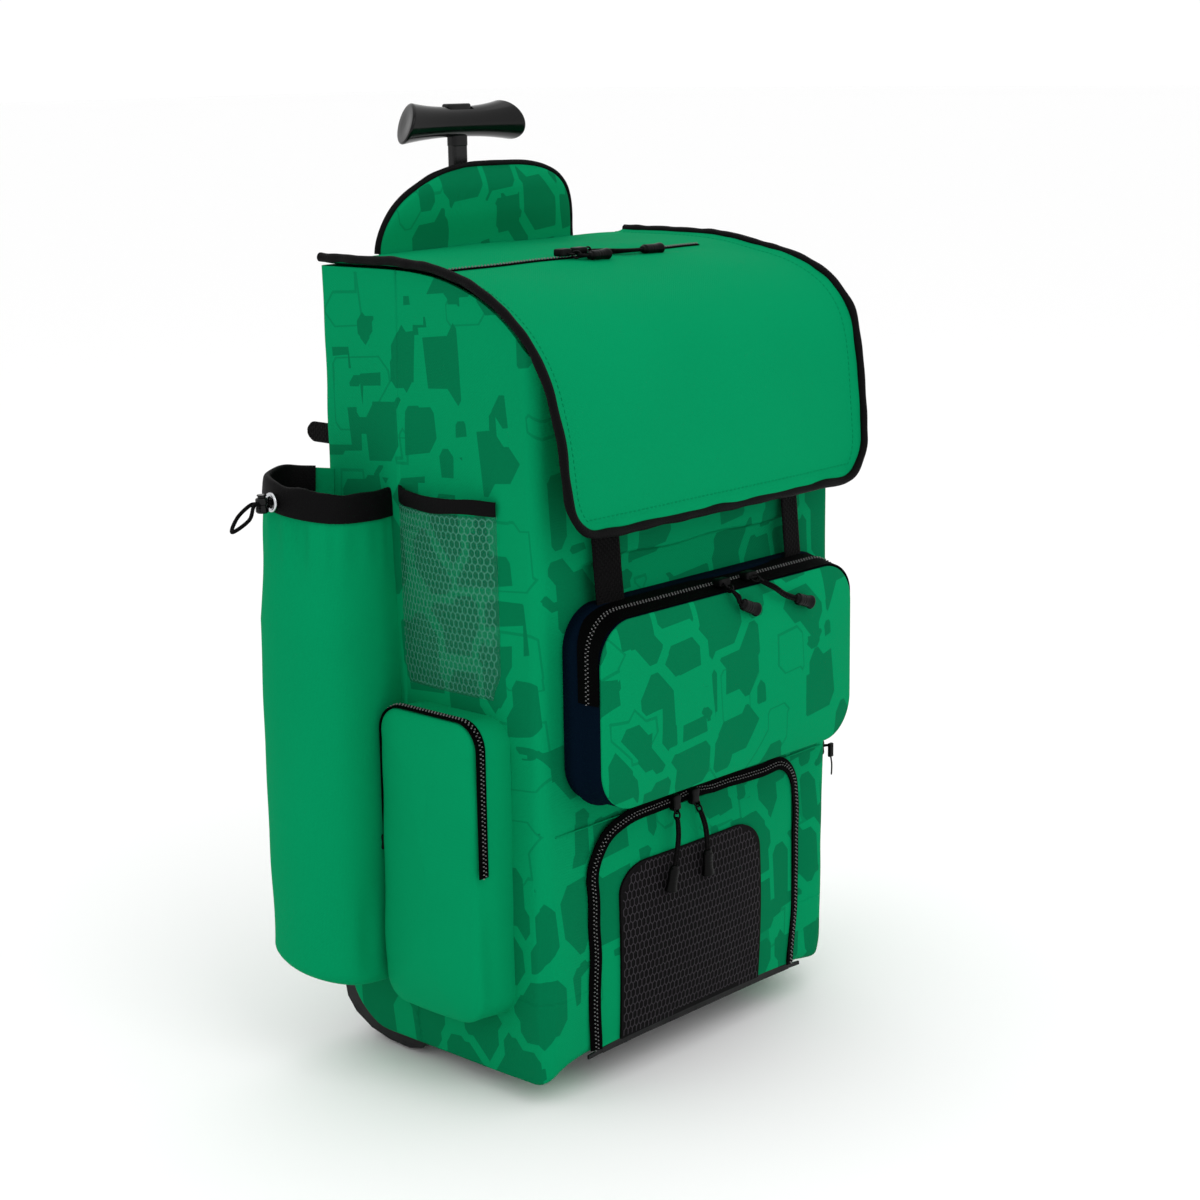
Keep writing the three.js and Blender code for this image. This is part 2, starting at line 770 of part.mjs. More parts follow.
// A row of a sleeve's wall: the section shrunk about its seam line, at the height that "level" gives.
function sleeveRow(side, shrink, level, lift = 0, ends = [0, 1]) {
  return range(14).map((t) => {
    const place = mix(...ends, t);
    const p = sleeveCurve.getPointAt(place);
    const along = sleeveCurve.getTangentAt(place);
    const out = Math.max(seat, p.x * shrink + along.y * lift);
    const y = mix(sleeve.seamY, p.y, shrink) - along.x * lift;
    return point(side * (bag.halfWidth + out), y, level(p.y));
  });
}

// A row of a sleeve's upper wall, a distance down from its rim.
function mouthRow(side, down, lift = 0, ends = [0, 1]) {
  const shrink = mix(sleeveMouth.shrink, 1, down / sleeveMouth.height);
  return sleeveRow(side, shrink, (y) => sleeveRim(y) - down, lift, ends);
}

function sleeveMiddle(side) {
  return point(side * (bag.halfWidth + 20), sleeve.seamY, sleeve.waist);
}

function sleeveShell(side) {
  const { bottom, rise, waist, floorRadius, floorShrink } = sleeve;
  const upper = [mouthRow(side, 0), mouthRow(side, sleeveMouth.height)];
  const rows = [...upper, sleeveRow(side, 1, () => waist)];
  for (const t of range(3)) {
    const angle = (t * Math.PI) / 2;
    const shrink = 1 - floorShrink * (1 - Math.cos(angle));
    const floor = (y) => bottom + rise * sleeveBack(y) + floorRadius * (1 - Math.sin(angle));
    rows.push(sleeveRow(side, shrink, floor));
  }
  rows.push([point(side * (bag.halfWidth + seat), sleeve.seamY, bottom + rise / 2)]);
  return sheet(rows, thinCloth, sleeveMiddle(side));
}

function sleeveBinding(side) {
  const lift = thinCloth + 2 * seat;
  const rows = [sleeve.binding, -1].map((down) => mouthRow(side, down, lift, [0, sleeve.bindingEnd]));
  return sheet(rows, thinCloth, sleeveMiddle(side));
}

// Drawcord of a sleeve: an eyelet on the binding, a cord lock and a loop of cord
function drawcordFrame(side) {
  const p = sleeveCurve.getPointAt(eyelet.place);
  const along = sleeveCurve.getTangentAt(eyelet.place);
  const normal = point(side * along.y, -along.x, 0).normalize();
  const lift = thinCloth + 3.5 * seat + eyelet.wire;
  const shrink = mix(sleeveMouth.shrink, 1, (sleeveRim(p.y) - eyelet.z) / sleeveMouth.height);
  const wall = point(side * (bag.halfWidth + p.x * shrink), mix(sleeve.seamY, p.y, shrink), eyelet.z);
  const centre = wall.addScaledVector(normal, lift);
  return { centre, normal, across: point(-normal.y, normal.x, 0) };
}

function eyeletRing(side) {
  const { centre, normal } = drawcordFrame(side);
  const ring = new THREE.TorusGeometry(eyelet.radius, eyelet.wire, 6, 12);
  const turn = new THREE.Quaternion().setFromUnitVectors(point(0, 0, 1), normal);
  return ring.applyQuaternion(turn).translate(centre.x, centre.y, centre.z);
}

function cordLockBarrel(side) {
  const { centre, normal, across } = drawcordFrame(side);
  const { radius, length, from } = cordLock;
  const cylinder = new THREE.CylinderGeometry(radius, radius, length, 10);
  const turn = new THREE.Quaternion().setFromUnitVectors(point(0, 1, 0), point(0, 0, 1));
  const place = centre.clone().addScaledVector(normal, from);
  const barrel = cylinder.applyQuaternion(turn).translate(place.x, place.y, place.z);
  const bore = (s) => {
    const middle = place.clone().addScaledVector(across, s * drawcord.run);
    const start = middle.clone().addScaledVector(normal, -2 * radius);
    const end = start.clone().addScaledVector(normal, 4 * radius);
    return tube([start, middle, end], drawcord.diameter / 2 + seat, 2, 8);
  };
  return cut(barrel, bore(1), bore(-1));
}

function cordLoop(side) {
  const { centre, normal, across } = drawcordFrame(side);
  const at = (out, s, down) => {
    return centre.clone().addScaledVector(normal, out).addScaledVector(across, s).add(point(0, 0, -down));
  };
  const { reach, drop, spread, run } = drawcord;
  const straight = (s) => drawcordRun.map((out) => at(out, s * run, 0));
  const half = (s) => [...straight(s), at(reach * 0.7, s * spread, drop * 0.5)];
  const route = [...half(1), at(reach, 0, drop), ...half(-1).reverse()];
  return tube(route, drawcord.diameter / 2, 18, 8);
}

// Web strap under the lid
function webStrap(side) {
  const { x, leftWidth, rightWidth } = lidStrap;
  const width = side < 0 ? leftWidth : rightWidth;
  const rows = lidStrapProfile.map(({ y, z }) => {
    return [-0.5, 0, 0.5].map((s) => point(side * x + s * width, y, z));
  });
  return sheet(rows, thinCloth, bagMiddle);
}

// Back panel with its raised head
function headOutline(half, top, count = 12) {
  const { shoulder, leftPower, rightPower } = backPanel;
  return range(count).map((t) => {
    const angle = Math.PI * (1 - t);
    const [c, s] = [Math.cos(angle), Math.sin(angle)];
    const power = 2 / (c < 0 ? leftPower : rightPower);
    return [half * Math.sign(c) * Math.abs(c) ** power, shoulder + (top - shoulder) * s ** power];
  });
}

function backPad() {
  const { halfWidth, bottom, top, thickness, chamfer } = backPanel;
  const outline = headOutline(halfWidth, top).reverse();
  outline.push([-halfWidth, bottom + chamfer], [-halfWidth + chamfer, bottom]);
  outline.push([halfWidth - chamfer, bottom], [halfWidth, bottom + chamfer]);
  const from = bag.depth + seat;
  return prism(outline.map(([x, z]) => new THREE.Vector2(x, z)), 'y', from, from + thickness);
}

function backBinding() {
  const { halfWidth, top, thickness, bindingRadius } = backPanel;
  const shift = bindingRadius + seat;
  const y = bag.depth + seat + thickness / 2;
  const path = headOutline(halfWidth + shift, top + shift, 16).map(([x, z]) => point(x, y, z));
  return tube(path, bindingRadius, 18, 6);
}

function seamTabLoop(side) {
  const { z, height, reach, thickness, inset } = seamTab;
  const shape = new THREE.Shape();
  const start = bag.depth + seat;
  shape.moveTo(start, z - height / 2);
  shape.lineTo(start + reach - height / 2, z - height / 2);
  shape.absarc(start + reach - height / 2, z, height / 2, -Math.PI / 2, Math.PI / 2, false);
  shape.lineTo(start, z + height / 2);
  const x = side * (bag.halfWidth - inset);
  return prism(shape, 'x', x - thickness / 2, x + thickness / 2, 8);
}

// Handle
function handleHousing() {
  const { halfWidth, bottom, top } = housing;
  const front = bag.depth + 2 * seat + backPanel.thickness;
  const { y, postWidth, postDepth, wall, slack } = handle;
  const outer = block([-halfWidth, halfWidth], [front, y + postDepth / 2 + slack + wall], [bottom, top]);
  const half = postWidth / 2 + slack;
  const room = postDepth / 2 + slack;
  return cut(outer, block([-half, half], [y - room, y + room], [bottom - 1, top + 1]));
}

function handlePost() {
  const { y, postWidth, postDepth, postRadius, postBottom } = handle;
  const [half, deep] = [postWidth / 2, postDepth / 2];
  const outline = roundRect(-half, half, y - deep, y + deep, postRadius, [3, 1, 1]);
  return prism(outline.map(([a, b]) => new THREE.Vector2(a, b)), 'z', postBottom, grip.neckFoot - seat);
}

// The grip is an hourglass whose end faces slant, longer underneath and in front, with a neck on the post.
function handleGrip() {
  const { z, midRadius, endRadius, flare, halfLength, slant, sweep, neckFoot } = grip;
  const rings = range(12).map((t) => {
    const s = 2 * t - 1;
    const radius = mix(midRadius, endRadius, Math.abs(s) ** flare);
    return circle(radius, 16).map(({ x: a, y: b }) => {
      return point(s * (halfLength - (sweep * a + slant * b) / endRadius), handle.y + a, z + b);
    });
  });
  const half = handle.postWidth / 2;
  const deep = handle.postDepth / 2;
  const neck = block([-half, half], [handle.y - deep, handle.y + deep], [neckFoot, z]);
  const room = buttonSpan(seat);
  const floor = z + midRadius - button.sunk - button.travel - 1;
  return cut(join(loft(rings), neck), block(...room, [floor, z + 2 * endRadius]));
}

function buttonSpan(extra) {
  const half = button.length / 2 + extra;
  const deep = button.width / 2 + extra;
  return [[-half, half], [handle.y - deep, handle.y + deep]];
}

function handleButton() {
  const { z, midRadius } = grip;
  const [[x0, x1], [y0, y1]] = buttonSpan(0);
  const top = z + midRadius + button.proud;
  const radii = [button.radius, button.radius, seat, seat];
  const outline = roundRect(x0, x1, z + midRadius - button.sunk, top, radii, [3, 1, 1]);
  return prism(outline.map(([a, b]) => new THREE.Vector2(a, b)), 'y', y0, y1);
}

// Base
function wheelGuard(side) {
  const outline = guardProfile.map(({ y, z }) => new THREE.Vector2(y, z));
  const [x0, x1] = [guard.inner, guard.outer].map((v) => v * side).sort((a, b) => a - b);
  return prism(outline, 'x', x0, x1);
}

// The slot that the wheel turns in, open below and behind, with the axle's holes.
function wheelRoom(side) {
  const { y, radius, boreRadius } = wheel;
  const reach = radius + guard.clearance;
  const cheeks = [guard.inner + guard.cheek, guard.outer - guard.cheek];
  const [x0, x1] = cheeks.map((v) => v * side).sort((a, b) => a - b);
  const behindBag = bag.depth + radius;
  const round = bar(reach, x0, x1, y, radius, 28);
  const below = block([x0, x1], [y - reach, behindBag], [-1, radius]);
  const behind = block([x0, x1], [y, behindBag], [-1, radius + reach * guard.behind]);
  const holes = bar(boreRadius, x0 - 2 * guard.cheek, x1 + 2 * guard.cheek, y, radius, 16);
  return [round, below, behind, holes];
}

function basePan() {
  const { thickness, lipThickness, lipHalfWidth } = base;
  const front = -seat - lipThickness;
  const floor = bag.bottom - seat;
  const rows = basePlate.map(({ y, half }) => {
    return range(6).map((t) => mix(-half, half, t)).map((x) => point(x, y, floor + floorRise(x, y)));
  });
  const plate = sheet(rows, thickness, point(0, bag.depth / 2, -bag.depth));
  const across = range(8).map((t) => mix(-lipHalfWidth, lipHalfWidth, t));
  const underside = (x) => floor + floorRise(x, 0) - thickness + 0.5;
  const lip = new THREE.Shape([
    ...across.map((x) => new THREE.Vector2(x, lipHeight(x))),
    ...across.reverse().map((x) => new THREE.Vector2(x, underside(x))),
  ]);
  const feet = [-1, 1].map((side) => {
    const x = side * foot.x;
    const span = [x - foot.length / 2, x + foot.length / 2];
    return block(span, [foot.front, foot.front + foot.depth], [0, floor - thickness / 2]);
  });
  const whole = join(plate, prism(lip, 'y', front, -seat), ...feet, wheelGuard(-1), wheelGuard(1));
  return cut(whole, ...wheelRoom(-1), ...wheelRoom(1));
}

function axlePin(side) {
  const [x0, x1] = [guard.inner, guard.outer].map((v) => v * side).sort((a, b) => a - b);
  return bar(wheel.axleRadius, x0, x1, wheel.y, wheel.radius, 16);
}

// A wheel's ring from a profile of { r, x } points, turned about the axle.
function turned(profile, side, segments) {
  const outline = profile.map(({ r, x }) => new THREE.Vector2(r, x));
  const ring = new THREE.LatheGeometry([...outline, outline[0]], segments);
  return ring.rotateZ(-Math.PI / 2).translate(side * wheel.x, wheel.y, wheel.radius);
}

function wheelTyre(side) {
  const { radius, width, rimRadius, shoulder } = wheel;
  const half = width / 2;
  const profile = [
    { r: rimRadius, x: -half },
    { r: radius - shoulder, x: -half },
    { r: radius, x: shoulder - half },
    { r: radius, x: half - shoulder },
    { r: radius - shoulder, x: half },
    { r: rimRadius, x: half },
  ];
  return turned(profile, side, 24);
}

function wheelHub(side) {
  const { width, rimRadius, bossRadius, dish, boreRadius } = wheel;
  const half = width / 2;
  const profile = [
    { r: boreRadius, x: -half },
    { r: bossRadius, x: -half },
    { r: rimRadius - seat, x: dish - half },
    { r: rimRadius - seat, x: half - dish },
    { r: bossRadius, x: half },
    { r: boreRadius, x: half },
  ];
  return turned(profile, side, 18);
}

// Scene
const model = new THREE.Group();

function add(name, geometry, color, roughness = 0.8, metalness = 0) {
  const mesh = new THREE.Mesh(geometry, new THREE.MeshStandardMaterial({ color, roughness, metalness }));
  mesh.name = name;
  model.add(mesh);
}

add('bag_body', bagBody(), green);
add('lid_flap', lidFlap(), green);
add('lid_piping', lidPiping(), black, 0.6);
add('lid_zip', lidZipTape(), black);
add('front_pocket_gusset', frontGusset(), navy);
add('front_pocket_face', frontFace(), darkGreen);
add('front_pocket_zip', frontZipTape(), black);
add('door_panel', doorPanel(), green);
add('door_zip', doorZipTape(), black);
add('door_vent', ventPanel(), meshGrey);
add('back_panel', backPad(), darkGreen);
add('back_binding', backBinding(), black, 0.6);

// Zip pulls. Each lies just clear of the cloth that it hangs against.
const clear = pullShape.endRadius + seat;
const onLid = (x, y) => point(x, y, lidOver(x, y).z + seat + clear);
const onLidZip = (x) => onLid(x, lidZip.y).add(point(0, 0, thinCloth));
const onFace = -(frontPocket.depth + cloth + frontPocket.crown + clear);
const onDoor = -(door.crown + 2 * thinCloth + 2 * seat + clear);
const sliderOut = 31;
const sliderTop = pocketAt(sliderOut - flatSlider[1] / 2).top + seat + thinCloth + clear;
const onPocket = (x) => onFront(x, sliderTop, sliderOut);
// The door's sliders sit on the edge of the door beside its zip.
const sliderOnDoor = (x) => {
  const [, depth, height] = uprightSlider;
  return onFront(x, door.top, doorBulge(x, door.top - height / 2) + seat + depth / 2);
};
const pulls = {
  lid_pull_right: {
    slider: flatSlider,
    path: [onLidZip(-20), onLid(6, 98), onLid(26, 91), onLid(64, 87)],
  },
  lid_pull_left: {
    slider: flatSlider,
    path: [onLidZip(-38), onLid(-24, 89), onLid(2, 87)],
  },
  front_pull_left: {
    slider: flatSlider,
    path: [onPocket(-4), point(-7, onFace, 379), point(-4, onFace, 374), point(17, onFace, 364)],
  },
  front_pull_right: {
    slider: flatSlider,
    path: [onPocket(28), point(36, onFace, 379), point(51, onFace, 370), point(84, onFace, 358)],
  },
  door_pull_left: {
    slider: uprightSlider,
    path: [sliderOnDoor(-32), point(-40, onDoor, 190), point(-50, onDoor, 146)],
  },
  door_pull_right: {
    slider: uprightSlider,
    path: [sliderOnDoor(-10), point(-8, onDoor, 190), point(-5, onDoor, 148)],
  },
};
for (const [name, pull] of Object.entries(pulls)) add(name, zipPull(pull), black, 0.5);

for (const [name, side] of [['left', -1], ['right', 1]]) {
  add(`side_pocket_${name}`, sidePocketShell(side), green);
  add(`side_zip_${name}`, sideZipTape(side), black);
  add(`mesh_pocket_${name}`, meshSheet(side), meshGrey);
  add(`mesh_binding_${name}`, meshBinding(side), black);
  add(`bat_sleeve_${name}`, sleeveShell(side), green);
  add(`sleeve_binding_${name}`, sleeveBinding(side), black);
  add(`eyelet_${name}`, eyeletRing(side), silver, 0.25, 1);
  add(`cord_lock_${name}`, cordLockBarrel(side), black, 0.3);
  add(`drawcord_${name}`, cordLoop(side), black);
  add(`lid_strap_${name}`, webStrap(side), black);
  add(`seam_tab_${name}`, seamTabLoop(side), black);
  add(`wheel_tyre_${name}`, wheelTyre(side), black, 0.7);
  add(`wheel_hub_${name}`, wheelHub(side), meshGrey, 0.5);
  add(`wheel_axle_${name}`, axlePin(side), silver, 0.3, 1);
}

add('base_pan', basePan(), black, 0.5);
add('handle_housing', handleHousing(), black, 0.4);
add('handle_post', handlePost(), black, 0.3);
add('handle_grip', handleGrip(), black, 0.25);
add('handle_button', handleButton(), black, 0.2);

// The origin is the middle of the footprint, on the floor.
const { min, max } = new THREE.Box3().setFromObject(model);
model.position.y = -(min.y + max.y) / 2;

export default model;
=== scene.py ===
import math

import bmesh
import bpy
import numpy as np
from mathutils import Matrix, Vector


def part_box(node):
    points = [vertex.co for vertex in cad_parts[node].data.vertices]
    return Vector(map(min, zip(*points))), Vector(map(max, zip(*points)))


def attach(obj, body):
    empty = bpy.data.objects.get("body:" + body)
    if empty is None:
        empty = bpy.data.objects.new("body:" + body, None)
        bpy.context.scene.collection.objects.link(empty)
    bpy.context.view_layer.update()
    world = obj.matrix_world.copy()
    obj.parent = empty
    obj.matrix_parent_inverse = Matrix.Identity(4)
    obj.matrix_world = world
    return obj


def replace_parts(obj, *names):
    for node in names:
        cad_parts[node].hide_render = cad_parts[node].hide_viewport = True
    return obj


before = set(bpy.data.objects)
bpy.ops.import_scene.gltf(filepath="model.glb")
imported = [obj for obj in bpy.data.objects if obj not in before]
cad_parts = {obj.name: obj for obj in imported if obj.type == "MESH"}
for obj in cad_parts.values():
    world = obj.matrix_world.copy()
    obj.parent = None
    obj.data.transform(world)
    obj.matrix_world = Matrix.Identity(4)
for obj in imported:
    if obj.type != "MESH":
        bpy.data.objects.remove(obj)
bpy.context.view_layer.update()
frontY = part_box("bag_body")[0][1]  # the bag's front face: every y below is measured back from it
print("frame loaded, front face at y", round(frontY, 4))

sides = {"left": -1, "right": 1}
seat = 0.0004  # the gap between pieces that lie on each other
bagHalf = 0.173  # half the bag's width
bagMiddle = 0.113  # half its depth


# small curves and fields, all on whole arrays

def softStep(t):  # 3t^2 - 2t^3, flat at both ends
    t = np.clip(t, 0, 1)
    return t * t * (3 - 2 * t)


def hump(t, middle, half):  # 1 at the middle, falling softly to 0 at half away
    return softStep(1 - np.abs(t - middle) / half)


def ripple(points, seed, size, count=7):  # sum of sine waves in random directions, about size long
    rng = np.random.default_rng(seed)
    way = rng.normal(size=(count, 3))
    way /= np.linalg.norm(way, axis=1, keepdims=True)
    rate = 2 * np.pi / (size * rng.uniform(0.7, 1.5, count))
    start = rng.uniform(0, 2 * np.pi, count)
    return np.sin(points @ (way * rate[:, None]).T + start).sum(axis=-1) / math.sqrt(count)


def unit(v):  # vectors brought to length 1
    return v / np.maximum(np.linalg.norm(v, axis=-1, keepdims=True), 1e-9)


def lengthsOf(line):  # the length of each stretch of a line of points
    return np.linalg.norm(np.diff(line, axis=0), axis=1)


def rowsAt(table, at):  # rows of a table at places between its whole row numbers
    return np.stack([np.interp(at, np.arange(len(table)), column) for column in table.T], axis=-1)


def spaced(line, count):  # points evenly spaced along a line of points
    along = np.concatenate([[0], np.cumsum(lengthsOf(line))])
    at = np.linspace(0, along[-1], count)
    return np.stack([np.interp(at, along, column) for column in line.T], axis=1)


def curveThrough(points, count):
    # centripetal Catmull-Rom: each stretch blends the lines through four neighbouring points,
    # with knots spaced by the square root of the distance
    p = np.asarray(points, float)
    p = np.vstack([2 * p[0] - p[1], p, 2 * p[-1] - p[-2]])
    knots = np.concatenate([[0], np.cumsum(np.sqrt(lengthsOf(p)))])
    perStretch = 60
    i = np.repeat(np.arange(1, len(p) - 2), perStretch)
    t = knots[i] + np.tile(np.arange(perStretch) / perStretch, len(p) - 3) * (knots[i + 1] - knots[i])

    def between(a, b, low, high):
        w = ((t - knots[low]) / (knots[high] - knots[low]))[:, None]
        return a * (1 - w) + b * w

    first = between(p[i - 1], p[i], i - 1, i)
    middle = between(p[i], p[i + 1], i, i + 1)
    last = between(p[i + 1], p[i + 2], i + 1, i + 2)
    curve = between(between(first, middle, i - 1, i + 1), between(middle, last, i, i + 2), i, i + 1)
    return spaced(np.vstack([curve, p[-2]]), count)


def circleProfile(radius, count):
    turn = np.linspace(0, 2 * np.pi, count, endpoint=False)
    return np.stack([radius * np.cos(turn), radius * np.sin(turn)], axis=1)


def spokesOf(across, up, count):  # unit spokes of a circle in the plane of two directions
    turn = circleProfile(1, count)
    return turn[:, :1] * across + turn[:, 1:] * up


# meshes from grids of points

def normalsOf(grid, around=False):  # cross product of the steps along the two ways of the grid
    if around:
        across = np.roll(grid, -1, axis=1) - np.roll(grid, 1, axis=1)
    else:
        across = np.gradient(grid, axis=1)
    return unit(np.cross(across, np.gradient(grid, axis=0)))


def quadsOf(index):  # the four corners of every cell of a grid of point numbers
    corners = [index[:-1, :-1], index[:-1, 1:], index[1:, 1:], index[1:, :-1]]
    return np.stack(corners, axis=-1).reshape(-1, 4)


def lengthUv(grid):  # u and v are lengths in metres along the rows and columns
    across = np.linalg.norm(np.diff(grid, axis=1), axis=2)
    along = np.linalg.norm(np.diff(grid, axis=0), axis=2)
    u = np.pad(np.cumsum(across, axis=1), ((0, 0), (1, 0)))
    v = np.pad(np.cumsum(along, axis=0), ((1, 0), (0, 0)))
    return np.stack([u, v], axis=-1)


def addPiece(name, points, faces, uv, material, body="bag", sharp=50):
    # a mesh from points and faces, smooth but for its sharp edges, riding one of the frame's bodies
    a, b, c = (points[[f[k] for f in faces]] for k in range(3))
    if np.einsum("ij,ij->", a, np.cross(b, c)) < 0:  # turn the faces outwards
        faces = [f[::-1] for f in faces]
        uv = [w[::-1] for w in uv]
    mesh = bpy.data.meshes.new(name)
    mesh.from_pydata(points + (0, frontY, 0), [], faces)
    layer = mesh.uv_layers.new(name="cloth")
    layer.data.foreach_set("uv", np.concatenate([np.asarray(w).ravel() for w in uv]))
    mesh.polygons.foreach_set("use_smooth", np.ones(len(mesh.polygons), bool))
    mesh.set_sharp_from_angle(angle=math.radians(sharp))
    mesh.materials.append(material["material"])
    piece = bpy.data.objects.new(name, mesh)
    bpy.context.scene.collection.objects.link(piece)
    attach(piece, body)
    return piece


def gridPiece(name, outer, material, inner=None, around=False, caps=(False, False), **more):
    # a grid of points as a closed solid: with an inner grid it is a wall, with caps a tube
    rows, cols = outer.shape[:2]
    index = np.arange(rows * cols).reshape(rows, cols)
    whole = outer
    if around:
        index = np.concatenate([index, index[:, :1]], axis=1)
        whole = np.concatenate([outer, outer[:, :1]], axis=1)
    uvGrid = lengthUv(whole)
    uvIndex = np.arange(whole.shape[0] * whole.shape[1]).reshape(whole.shape[:2])
    faces = [quadsOf(index)]
    uvFaces = [quadsOf(uvIndex)]
    points = outer.reshape(-1, 3)
    if inner is not None:
        under = index + rows * cols
        points = np.concatenate([points, inner.reshape(-1, 3)])
        faces.append(quadsOf(under)[:, ::-1])
        uvFaces.append(quadsOf(uvIndex)[:, ::-1])
        strips = []
        if not caps[0]:
            strips.append((under[0], index[0], uvIndex[0]))
        if not caps[1]:
            strips.append((index[-1], under[-1], uvIndex[-1]))
        if not around:
            strips.append((index[:, 0], under[:, 0], uvIndex[:, 0]))
            strips.append((under[:, -1], index[:, -1], uvIndex[:, -1]))
        for near, far, uvLine in strips:
            faces.append(quadsOf(np.stack([near, far])))
            uvFaces.append(quadsOf(np.stack([uvLine, uvLine])))
    faceList = [f for part in faces for f in part.tolist()]
    uv = [w for part in uvFaces for w in uvGrid.reshape(-1, 2)[part]]
    for row, wanted in ((0, caps[0]), (-1, caps[1])):
        layers = [0] if inner is None else [0, rows * cols]
        for shift in layers if wanted else []:
            ring = (index[row, :cols] + shift).tolist()
            turned = (row == 0) == (shift == 0)
            faceList.append(ring[::-1] if turned else ring)
            uv.append(np.zeros((cols, 2)))
    return addPiece(name, points, faceList, uv, material, **more)


def wallOf(grid, thickness, around=False, toward=(0, bagMiddle, 0.3)):
    # the same grid moved by its normals, to the side that the point "toward" is on
    normals = normalsOf(grid, around)
    facing = np.einsum("ijk,ijk->", normals, np.asarray(toward) - grid)
    return grid + normals * thickness * np.sign(facing)


def framesAlong(path, up):  # tangent, side and up directions at each point of a path
    along = unit(np.gradient(path, axis=0))
    side = unit(np.cross(along, np.broadcast_to(np.asarray(up, float), path.shape)))
    return along, side, np.cross(side, along)


def sweep(path, profile, up):  # a profile carried along a path: side steps and up steps from each point
    _, side, over = framesAlong(path, up)
    profile = np.broadcast_to(profile, (len(path), *np.shape(profile)[-2:]))
    return path[:, None] + profile[..., :1] * side[:, None] + profile[..., 1:] * over[:, None]


def tubePiece(name, path, radius, material, up=(0.3, 0.2, 1), count=12):
    # a circle carried along a path, with a radius for each point or one for all
    radius = np.broadcast_to(radius, len(path))[:, None, None]
    return solidPiece(name, sweep(path, circleProfile(1, count) * radius, up), material)


def solidPiece(name, grid, material, **more):  # rings of points with both ends closed
    return gridPiece(name, grid, material, around=True, caps=(True, True), **more)


def torusPiece(name, grid, material, **more):  # a grid that closes on itself both ways
    rows, cols = grid.shape[:2]
    index = np.pad(np.arange(rows * cols).reshape(rows, cols), ((0, 1), (0, 1)), mode="wrap")
    quads = quadsOf(index)
    uv = [np.zeros((4, 2))] * len(quads)
    return addPiece(name, grid.reshape(-1, 3), quads.tolist(), uv, material, **more)


studFaces = np.array([[0, 2, 3, 1], [4, 5, 7, 6], [0, 1, 5, 4], [2, 6, 7, 3], [0, 4, 6, 2], [1, 3, 7, 5]])


def studShape(long, wide, high, top=0.7):  # a bar with a smaller top: along, across, up
    foot = np.array([(-1, -1), (-1, 1), (1, -1), (1, 1)]) * (long / 2, wide / 2)
    return np.vstack([np.column_stack([foot, np.zeros(4)]), np.column_stack([foot * top, np.full(4, high)])])


def studsPiece(name, shape, places, axes, material):
    # copies of one small bar: each point is the place plus the bar's steps along three axes
    points = places[:, None] + np.einsum("kj,njd->nkd", shape, axes)
    quads = (studFaces[None] + len(shape) * np.arange(len(places))[:, None, None]).reshape(-1, 4).tolist()
    uv = [np.zeros((4, 2))] * len(quads)
    return addPiece(name, points.reshape(-1, 3), quads, uv, material)


# shader nodes

def addNode(tree, kind, settings=None, inputs=None):  # inputs are values, or sockets to link
    node = tree.nodes.new(kind)
    for key, value in (settings or {}).items():
        setattr(node, key, value)
    for key, value in (inputs or {}).items():
        if isinstance(value, bpy.types.NodeSocket):
            tree.links.new(value, node.inputs[key])
        else:
            node.inputs[key].default_value = value
    return node


def mathNode(tree, operation, a, b=0.0, c=0.0):
    node = addNode(tree, "ShaderNodeMath", {"operation": operation}, {0: a, 1: b, 2: c})
    return node.outputs[0]


def mixColour(tree, factor, a, b):
    node = addNode(tree, "ShaderNodeMix", {"data_type": "RGBA"}, {0: factor, 6: a, 7: b})
    return node.outputs[2]


def rampNode(tree, value, low, high, toLow=0.0, toHigh=1.0):
    inputs = {"Value": value, "From Min": low, "From Max": high, "To Min": toLow, "To Max": toHigh}
    return addNode(tree, "ShaderNodeMapRange", None, inputs).outputs["Result"]


def noiseNode(tree, vector, scale, detail):
    inputs = {"Vector": vector, "Scale": scale, "Detail": detail}
    return addNode(tree, "ShaderNodeTexNoise", None, inputs).outputs[0]


def scaleNode(tree, vector, scale):
    node = addNode(tree, "ShaderNodeVectorMath", {"operation": "SCALE"}, {0: vector, "Scale": scale})
    return node.outputs[0]


def bumpNode(tree, height, strength, distance):
    inputs = {"Height": height, "Strength": strength, "Distance": distance}
    return addNode(tree, "ShaderNodeBump", None, inputs).outputs[0]


def groupNode(tree, group, inputs):
    return addNode(tree, "ShaderNodeGroup", {"node_tree": group}, inputs).outputs[0]


def newGroup(name, inputs, outputs):
    group = bpy.data.node_groups.new(name, "ShaderNodeTree")
    for label, kind, value in inputs:
        socket = group.interface.new_socket(label, in_out="INPUT", socket_type=kind)
        if value is not None:
            socket.default_value = value
    for label, kind in outputs:
        group.interface.new_socket(label, in_out="OUTPUT", socket_type=kind)
    start = group.nodes.new("NodeGroupInput")
    end = group.nodes.new("NodeGroupOutput")
    return group, start.outputs, end.inputs


vectorKind, floatKind = "NodeSocketVector", "NodeSocketFloat"


